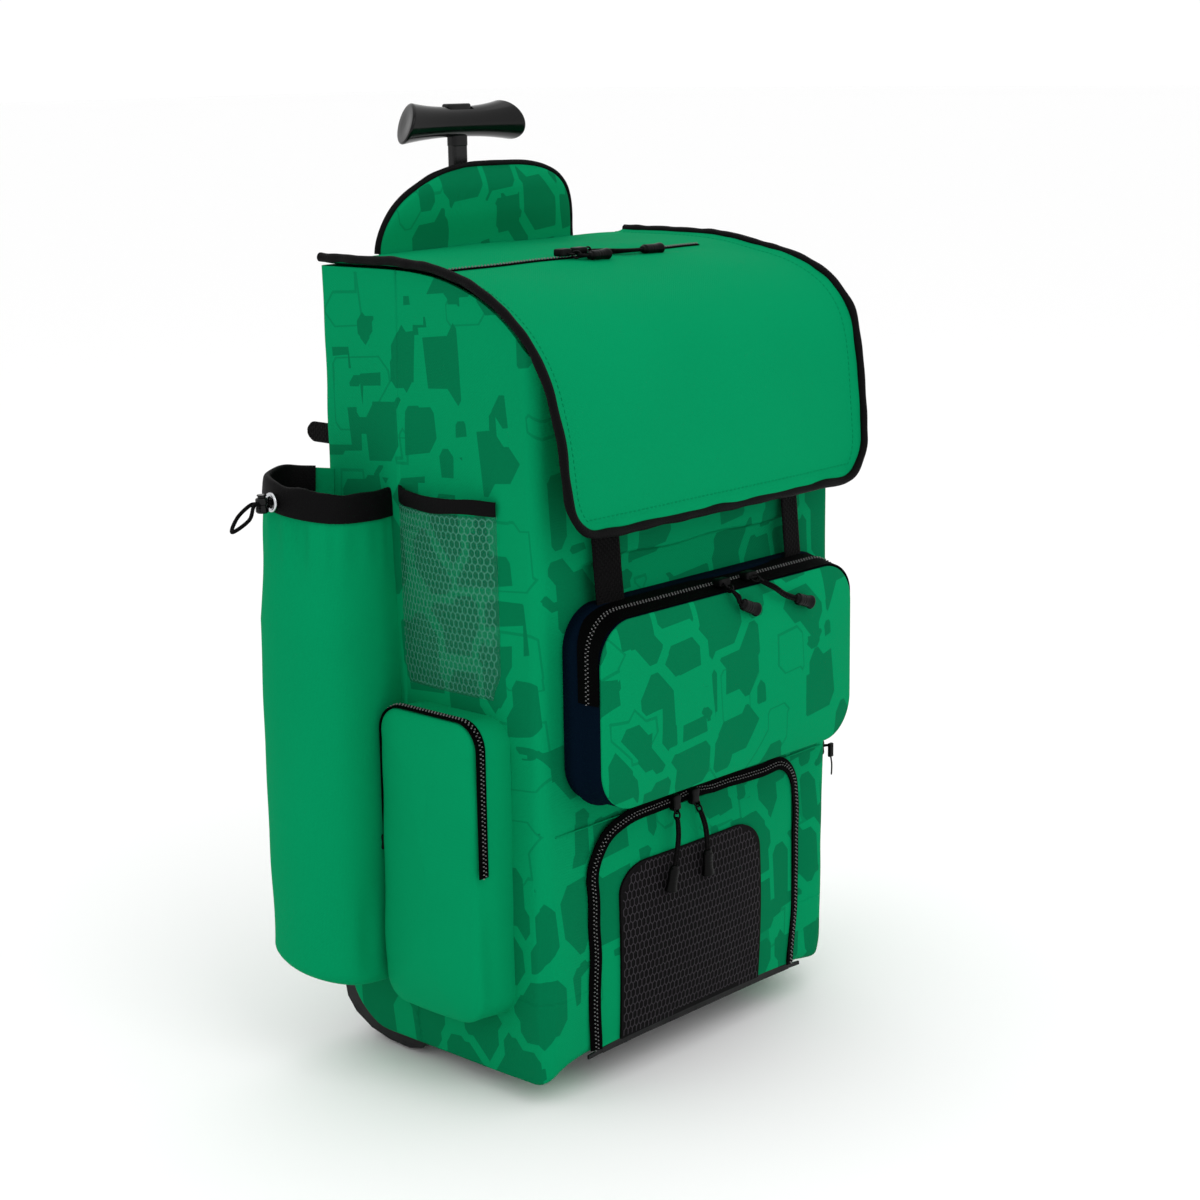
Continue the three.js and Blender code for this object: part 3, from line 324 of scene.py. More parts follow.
def makeWeave():
    # plain weave: threads along u and v take turns on top, each a half sine high
    inputs = [("Vector", vectorKind, None), ("Pitch", floatKind, 0.0012)]
    group, start, end = newGroup("threadWeave", inputs, [("Height", floatKind)])
    scaled = scaleNode(group, start["Vector"], mathNode(group, "DIVIDE", math.pi, start["Pitch"]))
    parts = addNode(group, "ShaderNodeSeparateXYZ", None, {0: scaled}).outputs
    waveU = mathNode(group, "SINE", parts[0])
    waveV = mathNode(group, "SINE", parts[1])
    over = mathNode(group, "GREATER_THAN", mathNode(group, "MULTIPLY", waveU, waveV), 0.0)
    highU = mathNode(group, "ABSOLUTE", waveU)
    highV = mathNode(group, "ABSOLUTE", waveV)
    mixed = addNode(group, "ShaderNodeMix", None, {0: over, 2: highU, 3: highV})
    group.links.new(mixed.outputs[0], end["Height"])
    return group


def makeFade():
    # uneven tone: slow clouds for fading and fine grain for fibres, both about 1
    inputs = [("Vector", vectorKind, None), ("Cloud", floatKind, 0.08), ("Grain", floatKind, 0.06)]
    group, start, end = newGroup("clothFade", inputs, [("Tone", floatKind)])
    slow = noiseNode(group, start["Vector"], 9.0, 3.0)
    fine = noiseNode(group, start["Vector"], 700.0, 2.0)
    cloud = mathNode(group, "MULTIPLY", mathNode(group, "SUBTRACT", slow, 0.5), start["Cloud"])
    grain = mathNode(group, "MULTIPLY", mathNode(group, "SUBTRACT", fine, 0.5), start["Grain"])
    tone = mathNode(group, "ADD", 1.0, mathNode(group, "ADD", cloud, grain))
    group.links.new(tone, end["Tone"])
    return group


patchSizes = dict(shift=(0, 0, 0), stretch=0.8, scale=22.0, inside=0.12, share=0.78)
outlineSizes = dict(shift=(7.1, 4.7, 2.4), stretch=0.9, scale=14.0, inside=0.3, share=0.45, line=0.016,
                    tone=0.55)
bitSizes = dict(shift=(1.1, 9.7, 5.4), stretch=1.0, scale=44.0, inside=0.22, share=0.09)
cellTurn = dict(axis=(1, 1, 0.3), angle=0.12, uneven=0.9)


def makeCamo():
    # angular patches: cells measured with the largest-axis distance have upright, level and slanting sides;
    # most cells are filled, some larger ones are drawn as an outline, and small bits lie between them
    inputs = [("Vector", vectorKind, None)]
    group, start, end = newGroup("angularPatches", inputs, [("Mask", floatKind)])

    def cellField(size, part):  # depth inside a cell, and 1 on the share of cells whose random value is low
        moved = addNode(group, "ShaderNodeVectorMath", {"operation": "MULTIPLY_ADD"},
                        {0: start["Vector"], 1: (1, 1, size["stretch"]), 2: size["shift"]}).outputs[0]
        turn = {"Vector": moved, "Axis": cellTurn["axis"], "Angle": cellTurn["angle"]}
        turned = addNode(group, "ShaderNodeVectorRotate", {"rotation_type": "AXIS_ANGLE"}, turn).outputs[0]
        cell = {"Vector": turned, "Scale": size["scale"], "Randomness": cellTurn["uneven"]}
        first, second = (addNode(group, "ShaderNodeTexVoronoi", {"feature": feature, "distance": "CHEBYCHEV"},
                                 cell).outputs for feature in ("F1", "F2"))
        value = addNode(group, "ShaderNodeSeparateColor", None, {0: first["Color"]}).outputs[part]
        depth = mathNode(group, "SUBTRACT", second["Distance"], first["Distance"])
        return depth, mathNode(group, "LESS_THAN", value, size["share"])

    def filled(size, part):
        depth, chosen = cellField(size, part)
        return mathNode(group, "MULTIPLY", mathNode(group, "GREATER_THAN", depth, size["inside"]), chosen)

    def outlined(size, part):
        depth, chosen = cellField(size, part)
        near = mathNode(group, "ABSOLUTE", mathNode(group, "SUBTRACT", depth, size["inside"]))
        line = mathNode(group, "MULTIPLY", mathNode(group, "LESS_THAN", near, size["line"]), chosen)
        return mathNode(group, "MULTIPLY", line, size["tone"])

    mask = mathNode(group, "MAXIMUM", filled(patchSizes, 0), outlined(outlineSizes, 1))
    group.links.new(mathNode(group, "MAXIMUM", mask, filled(bitSizes, 2)), end["Mask"])
    return group


weaveGroup = makeWeave()
fadeGroup = makeFade()
camoGroup = makeCamo()


def newMaterial(name, slot, constants):  # a Principled material, with a slot name kept beside it that nothing uses
    material = bpy.data.materials.new(name)
    material.use_nodes = True
    tree = material.node_tree
    shader = tree.nodes["Principled BSDF"]
    for key, value in constants.items():
        shader.inputs[key].default_value = value
    return {"material": material, "slot": slot, "tree": tree, "shader": shader}


def clothMaterial(name, slot, look):
    # woven cloth: base colour times an uneven tone, with painted shade between the threads, and the weave as
    # bump
    made = newMaterial(name, slot, {"Roughness": look["rough"], "Specular IOR Level": look["gloss"]})
    tree, shader = made["tree"], made["shader"]
    coords = addNode(tree, "ShaderNodeTexCoord").outputs
    weave = groupNode(tree, weaveGroup, {"Vector": coords["UV"], "Pitch": look["pitch"]})
    tone = groupNode(tree, fadeGroup, {"Vector": coords["Object"], "Cloud": 0.1, "Grain": 0.08})
    colour = look["colour"]
    if "patches" in look:
        mask = groupNode(tree, camoGroup, {"Vector": coords["Object"]})
        colour = mixColour(tree, mask, (*look["colour"], 1), (*look["patches"], 1))
    # painted shade: the colour darkens by the look's depth where the weave is low, between the threads
    shade = mathNode(tree, "MULTIPLY", tone, rampNode(tree, weave, 0.0, 1.0, 1 - look["depth"], 1.0))
    tree.links.new(scaleNode(tree, colour, shade), shader.inputs["Base Color"])
    tree.links.new(bumpNode(tree, weave, look["bump"], look["pitch"] / 4), shader.inputs["Normal"])
    return made


# depth in each look: how much darker the cloth is painted between its threads, a painted shade
greenLook = dict(colour=(0.0005, 0.258, 0.097), rough=0.85, gloss=0.02, pitch=0.0011, depth=0.12, bump=0.3)
camoLook = {**greenLook, "patches": (0.0005, 0.158, 0.061)}
navyLook = dict(colour=(0.0006, 0.0045, 0.0115), rough=0.8, gloss=0.02, pitch=0.0011, depth=0.2, bump=0.35)
trimLook = dict(colour=(0.0020, 0.0019, 0.0021), rough=0.6, gloss=0.06, pitch=0.0014, depth=0.3, bump=0.5)
webLook = dict(colour=(0.0020, 0.0018, 0.0019), rough=0.65, gloss=0.05, pitch=0.0022, depth=0.35, bump=0.7)
tapeLook = dict(colour=(0.0008, 0.0008, 0.0009), rough=0.7, gloss=0.02, pitch=0.0009, depth=0.25, bump=0.4)
threadLook = {**greenLook, "colour": (0.0005, 0.235, 0.089), "pitch": 0.0005}
ventLook = dict(colour=(0.0022, 0.002, 0.0023), rough=0.8, gloss=0.08, pitch=0.0008, depth=0.2, bump=0.3)

greenCloth = clothMaterial("greenCloth", "green_cloth", greenLook)
camoCloth = clothMaterial("camoCloth", "patterned_cloth", camoLook)
navyCloth = clothMaterial("navyCloth", "dark_cloth", navyLook)
blackTrim = clothMaterial("blackTrim", "black_trim", trimLook)
blackWeb = clothMaterial("blackWeb", "black_trim", webLook)
zipTapeCloth = clothMaterial("zipTapeCloth", "zip", tapeLook)
greenThread = clothMaterial("greenThread", "green_cloth", threadLook)
ventBlack = clothMaterial("ventBlack", "vent", ventLook)
print("cloth materials made")


def hardMaterial(name, slot, look):
    # moulded or metal finish: fine grain as bump, and faint scuffs that change the roughness
    constants = {"Metallic": look.get("metal", 0.0), "Specular IOR Level": look.get("gloss", 0.5)}
    made = newMaterial(name, slot, constants)
    tree, shader = made["tree"], made["shader"]
    place = addNode(tree, "ShaderNodeTexCoord").outputs["Object"]
    tone = groupNode(tree, fadeGroup, {"Vector": place, "Cloud": 0.35, "Grain": look.get("grain", 0.2)})
    tree.links.new(scaleNode(tree, look["colour"], tone), shader.inputs["Base Color"])
    scuff = noiseNode(tree, place, 60.0, 4.0)
    rough = rampNode(tree, scuff, 0.35, 0.7, look["rough"] * 0.8, look["rough"] * 1.25)
    tree.links.new(rough, shader.inputs["Roughness"])
    grain = noiseNode(tree, place, 1500.0, 1.0)
    tree.links.new(bumpNode(tree, grain, look.get("bump", 0.15), 0.0002), shader.inputs["Normal"])
    return made


pullLook = dict(colour=(0.0012, 0.0012, 0.0013), rough=0.4, gloss=0.08)
# painted highlight: the teeth are a light grey against the black tape, standing in for the glints along the
# coil
coilLook = dict(colour=(0.16, 0.16, 0.16), rough=0.35, gloss=0.3)
ringLook = dict(colour=(0.55, 0.56, 0.58), rough=0.22, metal=1.0, bump=0.03, grain=0.05)
glossLook = dict(colour=(0.001, 0.001, 0.0011), rough=0.17, gloss=0.2, bump=0.02)
mouldedLook = dict(colour=(0.0035, 0.0035, 0.0038), rough=0.5, gloss=0.2, bump=0.4)
postLook = dict(colour=(0.0025, 0.0025, 0.0027), rough=0.3, gloss=0.25)
axleLook = dict(colour=(0.5, 0.5, 0.51), rough=0.3, metal=1.0)
tyreLook = dict(colour=(0.005, 0.005, 0.0055), rough=0.75, gloss=0.2, bump=0.4)
hubLook = dict(colour=(0.04, 0.042, 0.045), rough=0.4, gloss=0.3)
meshLook = dict(colour=(0.028, 0.025, 0.029), rough=0.75, gloss=0.1)

pullRubber = hardMaterial("pullRubber", "pull", pullLook)
zipCoil = hardMaterial("zipCoil", "zip", coilLook)
silverRing = hardMaterial("silverRing", "ring", ringLook)
glossBlack = hardMaterial("glossBlack", "gloss_black", glossLook)
mouldedBlack = hardMaterial("mouldedBlack", "moulded_black", mouldedLook)
postBlack = hardMaterial("postBlack", "post", postLook)
axleSteel = hardMaterial("axleSteel", "axle", axleLook)
tyreRubber = hardMaterial("tyreRubber", "tyre", tyreLook)
hubPlastic = hardMaterial("hubPlastic", "hub", hubLook)
ventGrey = hardMaterial("ventGrey", "vent", meshLook)
print("hard materials made")


# camera and light

cameraView = dict(place=(-1.3772, -1.1851, 0.7833), azimuth=-46.98, elevation=12.855, roll=-0.919, lens=72.03,
                  sensor=36)


def makeCamera(view):  # looks along azimuth and elevation, then rolls about its own axis
    a, e, r = (math.radians(view[k]) for k in ("azimuth", "elevation", "roll"))
    back = Vector((math.sin(a) * math.cos(e), -math.cos(a) * math.cos(e), math.sin(e)))
    right = Vector((math.cos(a), math.sin(a), 0))
    up = back.cross(right)
    turnedRight = right * math.cos(r) + up * math.sin(r)
    turnedUp = up * math.cos(r) - right * math.sin(r)
    data = bpy.data.cameras.new("camera")
    data.lens = view["lens"]
    data.sensor_width = view["sensor"]
    camera = bpy.data.objects.new("camera", data)
    bpy.context.scene.collection.objects.link(camera)
    place = Vector(view["place"]) + Vector((0, frontY, 0))
    turn = Matrix((turnedRight, turnedUp, back)).transposed().to_4x4()
    camera.matrix_world = Matrix.Translation(place) @ turn
    bpy.context.scene.camera = camera


makeCamera(cameraView)

studio = dict(sky=1.02, floor=(0.97, 0.97, 0.97), floorHalf=40.0, aim=(0, 0, 0.35))
lamps = {
    "keyLamp": dict(place=(-0.5, -2.0, 2.2), size=1.6, power=12),
    "fillLamp": dict(place=(-2.2, 0.2, 1.4), size=1.8, power=1.5),
    "topLamp": dict(place=(0.4, 0.2, 2.8), size=2.0, power=6),
}


def makeStudio():  # an even white sky, three soft lamps and a pale floor
    scene = bpy.context.scene
    scene.view_settings.view_transform = "Standard"
    world = bpy.data.worlds.new("studio")
    world.use_nodes = True
    sky = world.node_tree.nodes["Background"]
    sky.inputs["Color"].default_value = (1, 1, 1, 1)
    sky.inputs["Strength"].default_value = studio["sky"]
    scene.world = world
    for name, lamp in lamps.items():
        data = bpy.data.lights.new(name, "AREA")
        data.size = lamp["size"]
        data.energy = lamp["power"]
        light = bpy.data.objects.new(name, data)
        light.location = lamp["place"]
        aim = Vector(studio["aim"]) - Vector(lamp["place"])
        light.rotation_euler = aim.to_track_quat("-Z", "Y").to_euler()
        scene.collection.objects.link(light)
    mesh = bpy.data.meshes.new("floor")
    half = studio["floorHalf"]
    corners = [(-half, -half, 0), (half, -half, 0), (half, half, 0), (-half, half, 0)]
    mesh.from_pydata(corners, [], [(0, 1, 2, 3)])
    floor = bpy.data.objects.new("floor", mesh)
    scene.collection.objects.link(floor)
    paint = newMaterial("floorPaint", None, {"Base Color": (*studio["floor"], 1), "Roughness": 0.9})
    mesh.materials.append(paint["material"])


makeStudio()
print("camera and studio set")


# drawcords of the sleeves: eyelet, lock and loop

sleeveSizes = dict(bottom=0.076, rise=0.014, waist=0.230, frontTop=0.463, backTop=0.475, seamY=0.192,
                   floorRadius=0.012, floorShrink=0.18, bindingEnd=0.93, wall=0.002, mouthShrink=0.87,
                   mouthHeight=0.110, dent=0.0042, dentAt=0.41, crease=0.0022, creaseAt=0.20, uneven=0.0012,
                   fineUneven=0.0005, gather=0.0007, wave=0.0011)
sleeveSection = np.array([(0.0004, 0.147), (0.026, 0.144), (0.060, 0.152), (0.077, 0.176), (0.080, 0.206),
                          (0.067, 0.235), (0.036, 0.245), (0.0004, 0.222)])  # out from the side panel, y
cordSizes = dict(place=0.52, z=0.458, ring=0.006, wire=0.0016, diameter=0.003, reach=0.035, drop=0.018,
                 spread=0.008, run=0.0022, lockRadius=0.005, lockLength=0.014, lockFrom=0.008,
                 straight=(-0.0017, 0.007, 0.012, 0.016))
lockProfile = np.array([(0.0004, -0.5), (0.8, -0.5), (1.0, -0.42), (1.0, -0.2), (0.88, -0.15), (0.88, -0.05),
                        (1.0, 0.0), (1.0, 0.25), (0.9, 0.3), (0.62, 0.34), (0.62, 0.4), (0.78, 0.44),
                        (0.7, 0.5), (0.0004, 0.5)])  # shares of the lock's radius and of its length


def sectionAt(share):  # place and direction on the sleeve's plan section
    line = curveThrough(sleeveSection, 400)
    way = unit(np.gradient(line, axis=0))
    at = np.asarray(share) * (len(line) - 1)
    return rowsAt(line, at), unit(rowsAt(way, at))


def sleeveBack(y):  # 0 at the front of the sleeve, 1 at its back
    low, high = sleeveSection[:, 1].min(), sleeveSection[:, 1].max()
    return np.clip((y - low) / (high - low), 0, 1)


def sleeveRim(y):  # the height of the mouth, which rises evenly to the back
    return sleeveSizes["frontTop"] + (sleeveSizes["backTop"] - sleeveSizes["frontTop"]) * sleeveBack(y)


def mouthAt(down):  # the section's share of its full size at a depth under the rim
    s = sleeveSizes
    return s["mouthShrink"] + (1 - s["mouthShrink"]) * np.minimum(1, down / s["mouthHeight"])


def cordFrame(side):  # the middle of the eyelet, the way out of the wall and the way along it
    c, s = cordSizes, sleeveSizes
    (out, y), (alongOut, alongY) = sectionAt(c["place"])
    normal = np.array([side * alongY, -alongOut, 0])
    shrink = mouthAt(sleeveRim(y) - c["z"])
    wall = np.array([side * (bagHalf + out * shrink), s["seamY"] + (y - s["seamY"]) * shrink, c["z"]])
    centre = wall + normal * (s["wall"] + 3.5 * seat + c["wire"])
    return centre, normal, np.array([-normal[1], normal[0], 0])


def makeDrawcord(name, side):
    # cord: a tube along a loop out of the eyelet, through the lock and back
    c = cordSizes
    centre, normal, across = cordFrame(side)
    upWay = np.array([0, 0, 1.0])
    at = lambda out, step, down: centre + normal * out + across * step - upWay * down

    def halfLoop(way):
        straight = [at(out, way * c["run"], 0) for out in c["straight"]]
        return [*straight, at(c["reach"] * 0.7, way * c["spread"], c["drop"] * 0.5)]

    path = curveThrough([*halfLoop(1), at(c["reach"], 0, c["drop"]), *halfLoop(-1)[::-1]], 150)
    tilt = np.cross(normal, across) + normal * 0.02
    cord = tubePiece(f"drawcord_{name}_loop", path, c["diameter"] / 2, blackWeb, up=tilt)

    # eyelet: a ring of round wire; lock: a ribbed barrel turned about its upright axis
    wire = circleProfile(c["wire"], 12)
    spoke = spokesOf(across, upWay, 48)
    ringGrid = centre + spoke[:, None] * (c["ring"] + wire[None, :, :1]) + normal * wire[None, :, 1:]
    ring = torusPiece(f"eyelet_{name}_ring", ringGrid, silverRing)
    barrel = lockProfile[:, None] * (c["lockRadius"], c["lockLength"])
    lockGrid = centre + normal * c["lockFrom"] + barrel[..., :1] * spokesOf(across, normal, 32)
    lock = solidPiece(f"cord_lock_{name}_barrel", lockGrid + barrel[..., 1:] * upWay, glossBlack, sharp=35)

    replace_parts(cord, f"drawcord_{name}")
    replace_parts(ring, f"eyelet_{name}")
    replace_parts(lock, f"cord_lock_{name}")


for name, side in sides.items():
    makeDrawcord(name, side)
print("drawcords made")


# body

bodySizes = dict(depth=2 * bagMiddle, bottom=0.016, frontCorner=0.011, backCorner=0.006, heel=0.05,
                 toe=0.008, wall=0.003, archRise=0.018, archReach=0.055, archFade=0.15, footIn=0.012,
                 footHigh=0.030, footCorner=0.009, seamZ=0.2150, foldZ=0.417, foldDepth=0.0045,
                 foldFade=0.040, foldHalf=0.135, foldLip=0.003, swell=0.0015, besideDoor=0.004,
                 uneven=0.0009, fineUneven=0.0003)
lidSizes = dict(halfWidth=0.171, corner=0.030, piping=0.0034, pipeUp=0.0026, wall=0.003, crown=0.0022,
                crownTop=0.3, rimUp=0.0022, uneven=0.0008, fineUneven=0.00025)
lidBottom = 0.448
lidLeft = [(0.225, 0.632), (0.120, 0.631), (0.078, 0.624), (0.042, 0.610), (0.014, 0.590), (-0.008, 0.562),
           (-0.021, 0.528), (-0.029, 0.486), (-0.032, lidBottom)]  # y, z from the back edge over the top
lidRight = [(0.225, 0.632), (0.120, 0.631), (0.077, 0.625), (0.034, 0.616), (0.002, 0.600), (-0.014, 0.582),
            (-0.0225, 0.557), (-0.028, 0.505), (-0.032, lidBottom)]  # the right shoulder is fuller
lidLines = np.stack([curveThrough(line, 400) for line in (lidLeft, lidRight)])


def lidHeight(x, y):  # the lid's height over places on the bag's top, from blends of its two edges
    x, y = np.broadcast_arrays(np.asarray(x, float), np.asarray(y, float))
    shares = np.linspace(0, 1, 33)
    blends = [lidLines[0] * (1 - s) + lidLines[1] * s for s in shares]
    heights = np.array([np.interp(y, line[::-1, 0], line[::-1, 1]) for line in blends])
    at = np.clip(0.5 + x / (2 * lidSizes["halfWidth"]), 0, 1) * (len(shares) - 1)
    low = np.minimum(at.astype(int), len(shares) - 2)
    pick = lambda k: np.take_along_axis(heights, k[None], axis=0)[0]
    return pick(low) * (1 - at + low) + pick(low + 1) * (at - low)


def rimHeight(x, y):  # the body's top edge lies just under the lid
    steep = (lidHeight(x, y + 0.001) - lidHeight(x, y - 0.001)) / 0.002
    return lidHeight(x, y) - (lidSizes["wall"] + 2.2 * seat) * np.hypot(1, steep)


def floorRise(x, y):  # the arch under the front: highest at the front edge, level again further back
    b = bodySizes
    across = np.clip(1 - (x / bagHalf) ** 8, 0, 1)
    return b["archRise"] * across * np.clip(1 - y / b["archReach"], 0, 1)


def roundRing(x0, x1, y0, y1, radii, cornerSteps, stepsX, stepsY):
    # a rectangle with round corners for each row: arcs at the corners, straight runs between them
    turn = np.linspace(0, np.pi / 2, cornerSteps + 1)
    corners = [(x1, y1, -1, -1), (x0, y1, 1, -1), (x0, y0, 1, 1), (x1, y0, -1, 1)]
    arcs = []
    for k, (x, y, inX, inY) in enumerate(corners):
        r = np.broadcast_to(radii[k], np.shape(x0))[:, None]
        angle = turn[None] + k * np.pi / 2
        arcX = x[:, None] + inX * r + r * np.cos(angle)
        arcY = y[:, None] + inY * r + r * np.sin(angle)
        arcs.append(np.stack([arcX, arcY], axis=-1))
    runs = []
    for k in range(4):
        count = stepsY if k % 2 else stepsX
        t = (np.arange(1, count) / count)[None, :, None]
        a, b = arcs[k][:, -1:], arcs[(k + 1) % 4][:, :1]
        runs += [arcs[k], a + (b - a) * t]
    return np.concatenate(runs, axis=1)


def makeBody():
    # rings of a round-cornered rectangle, tucked in round the heel and toe, up to the lid's line;
    # the floor is the lowest ring drawn in to its middle
    b = bodySizes

    def tuck(radius, z):  # how far a round lower edge draws in at a height
        under = np.maximum(0, b["bottom"] + radius - z)
        return radius - np.sqrt(np.maximum(0, radius**2 - under**2))

    low = b["bottom"] + b["heel"] * (1 - np.cos(np.linspace(0, np.pi / 2, 16)))
    foldShare = (b["foldZ"] - low[-1]) / (rimHeight(0, 0) - low[-1])
    nearFold = foldShare + np.linspace(-0.022, 0.022, 24)  # close rows where the fold lies
    share = np.sort(np.concatenate([np.linspace(0, 1, 104)[1:], nearFold]))
    level = np.concatenate([low, np.full(len(share), low[-1])])
    half = bagHalf - tuck(b["toe"] / 2, level)
    rightTurn = np.clip(1 - (level - b["bottom"]) / b["footHigh"], 0, 1)
    rightHalf = half - b["footIn"] * (1 - np.sqrt(1 - rightTurn**2))
    climb = np.concatenate([np.zeros(len(low)), share])[:, None]
    rightCorner = b["frontCorner"] + b["footCorner"] * softStep(1 - climb[:, 0] / 0.4)  # rounder low down
    ring = roundRing(-half, rightHalf, tuck(b["toe"], level), b["depth"] - tuck(b["heel"], level),
                     [b["backCorner"], b["backCorner"], b["frontCorner"], rightCorner], 6, 64, 44)
    x, y = ring[..., 0], ring[..., 1]
    z = level[:, None] + climb * (rimHeight(x, y) - low[-1])
    grid = np.stack([x, y, z], axis=-1)

    # soft shape: panels swell between their seams, a fold lies under the lid, and the cloth is uneven
    outward = normalsOf(grid, True)
    outward *= np.sign((outward[..., :2] * (grid - (0, bagMiddle, 0))[..., :2]).sum())
    front = softStep(1 - y / 0.004)
    onSide = softStep((np.abs(x) - bagHalf + 0.004) / 0.004)
    acrossY = np.clip(1 - ((y - bagMiddle) / bagMiddle) ** 4, 0, 1)
    swell = b["swell"] * acrossY * onSide * hump(z, 0.32, 0.32)
    below = b["foldZ"] + 0.0012 * np.sin(x * 60) - z  # the cloth steps in here and comes back slowly
    fold = b["foldDepth"] * softStep((below + 0.0015) / 0.003) * softStep(1 - below / b["foldFade"])
    fold -= b["foldLip"] * hump(below, -0.012, 0.03)
    fold *= front * softStep((b["foldHalf"] - np.abs(x)) / 0.03)
    besideDoor = b["besideDoor"] * hump(np.abs(x), 0.148, 0.03) * hump(z, 0.11, 0.10) * front
    uneven = ripple(grid, 3, 0.16) * b["uneven"] + ripple(grid, 4, 0.06) * b["fineUneven"]
    uneven *= softStep((z - b["bottom"]) / 0.03)
    grid = grid + outward * (swell - fold + besideDoor + uneven * (front + onSide))[..., None]
    lift = np.clip(1 - (z - b["bottom"]) / b["archFade"], 0, 1)
    grid[..., 2] += lift * floorRise(x, y)

    shrink = np.array([0.03, 0.25, 0.5, 0.75, 0.93])[:, None, None]
    floorMiddle = np.array([0, b["depth"] / 2, b["bottom"]])
    floorGrid = floorMiddle + (grid[:1] - floorMiddle) * shrink
    floorGrid[..., 2] = b["bottom"] + floorRise(floorGrid[..., 0], floorGrid[..., 1])
    grid = np.concatenate([floorGrid, grid])
    inner = wallOf(grid, b["wall"], True)
    body = gridPiece("bagShell", grid, camoCloth, inner=inner, around=True, caps=(True, False))
    cutGuardRooms(body)
    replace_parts(body, "bag_body")

    # seam across the front below the pocket: a thin welt along a slightly wavy line
    x = np.linspace(-0.160, 0.160, 120)
    y = -0.0002 - 0.0003 * ripple(np.column_stack([x, x, x]), 5, 0.05)
    welt = np.column_stack([x, y, np.full(len(x), b["seamZ"])])
    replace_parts(tubePiece("frontSeam", welt, 0.0006, greenThread, count=8), "bag_body")


guardRoom = dict(inner=0.136, outer=0.166, front=0.141, top=0.085)


def cutGuardRooms(body):  # the wheel guards fill the lower back corners, so the cloth stops there
    g = guardRoom
    backFrom = g["front"] + frontY
    mesh = bmesh.new()
    mesh.from_mesh(body.data)
    for side in sides.values():
        for axis, value in ((0, g["inner"] * side), (0, g["outer"] * side), (1, backFrom), (2, g["top"])):
            normal = Vector((0, 0, 0))
            normal[axis] = 1
            everything = mesh.verts[:] + mesh.edges[:] + mesh.faces[:]
            bmesh.ops.bisect_plane(mesh, geom=everything, plane_co=normal * value, plane_no=normal)
    gone = []
    for face in mesh.faces:
        c = face.calc_center_median()
        if g["inner"] < abs(c.x) < g["outer"] and c.y > backFrom and c.z < g["top"]:
            gone.append(face)
    bmesh.ops.delete(mesh, geom=gone, context="FACES")
    mesh.to_mesh(body.data)
    mesh.free()


makeBody()
print("body made")


# lid

def cornerTurn(z):  # 0 above the lid's lower corner, 1 at its bottom edge
    return np.clip((lidBottom + lidSizes["corner"] - z) / lidSizes["corner"], 0, 1)


def lidHalf(z):  # half the width at a height, less where the round corners turn
    return lidSizes["halfWidth"] - lidSizes["corner"] * (1 - np.sqrt(1 - cornerTurn(z) ** 2))


def lidRows():  # both edges' rows: they crowd together towards the bottom edge, where the corners turn
    share = np.concatenate([np.linspace(0, 0.9, 78), 0.9 + 0.1 * np.sin(np.linspace(0, np.pi / 2, 25))[1:]])
    at = share * (lidLines.shape[1] - 1)
    return np.stack([rowsAt(line, at) for line in lidLines]), share


lidZipSizes = dict(y=0.098, left=-0.163, right=0.121, width=0.005)


def makeLid():
    # a ruled surface between the two edges' side views, drawn in at the lower corners, with a slight crown
    # and unevenness; its rim turns up to the piping
    (left, right), share = lidRows()
    across = np.linspace(-1, 1, 72)
    s = ((across + 1) / 2)[None, :, None]
    grid = np.empty((len(share), len(across), 3))
    grid[..., 1:] = left[:, None] * (1 - s) + right[:, None] * s
    half = lidHalf(grid[..., 2]) - 0.0006 * np.sqrt(cornerTurn(grid[..., 2]))
    grid[..., 0] = half * across
    out = wallOf(grid, -1.0) - grid
    hanging = softStep((share - 0.35) / 0.5)[:, None]
    size = lidSizes
    crown = size["crown"] * (1 - across**2) * (size["crownTop"] + (1 - size["crownTop"]) * hanging)
    uneven = ripple(grid, 8, 0.15) * size["uneven"] + ripple(grid, 9, 0.05) * size["fineUneven"]
    uneven *= 1 - across**6
    uneven *= softStep((np.abs(grid[..., 1] - lidZipSizes["y"]) - 0.006) / 0.015)  # even along the zip
    rim = np.maximum(softStep((np.abs(across) - 0.95) / 0.05), softStep((share[:, None] - 0.985) / 0.015))
    grid = grid + out * (crown + uneven + size["rimUp"] * rim)[..., None]
    lid = gridPiece("lidSheet", grid, greenCloth, inner=wallOf(grid, size["wall"]))
    low = -12  # rows from the bottom edge up to its stitches
    edge = np.concatenate([grid[:low, 2], grid[low, 2:-2], grid[:low, -3][::-1]])
    outEdge = np.concatenate([out[:low, 2], out[low, 2:-2], out[:low, -3][::-1]])
    picked = np.linspace(0, len(edge) - 1, 900).astype(int)
    stitchPiece("lidStitches", spaced(edge, 900), outEdge[picked], greenThread)
    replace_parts(lid, "lid_flap")
    return lid


def makePiping():
    # a cord in a cloth strip round the lid's free edge: one side, the bottom edge and the other side
    lines, _ = lidRows()
    shift = math.sqrt(lidSizes["piping"] ** 2 - lidSizes["pipeUp"] ** 2)
    edges = []
    for line, side in zip(lines, sides.values()):
        along = unit(np.gradient(line, axis=0))
        turn = cornerTurn(line[:, 1])
        half = lidHalf(line[:, 1]) + shift * np.sqrt(1 - turn**2)
        raised = np.stack([along[:, 1], -along[:, 0]], axis=1) * lidSizes["pipeUp"]
        edges.append(np.column_stack([side * half, line + raised + along * (shift * turn)[:, None]]))
    path = spaced(np.vstack([edges[1], edges[0][::-1]]), 520)
    path += 0.0004 * np.stack([ripple(path, k, 0.03) for k in (21, 22, 23)], axis=1)
    radius = lidSizes["piping"] * (1 + 0.06 * ripple(path, 24, 0.02))
    pipe = tubePiece("lidPipe", path, radius, blackTrim, up=(0.02, -0.75, 0.66), count=14)
    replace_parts(pipe, "lid_piping")
    return pipe


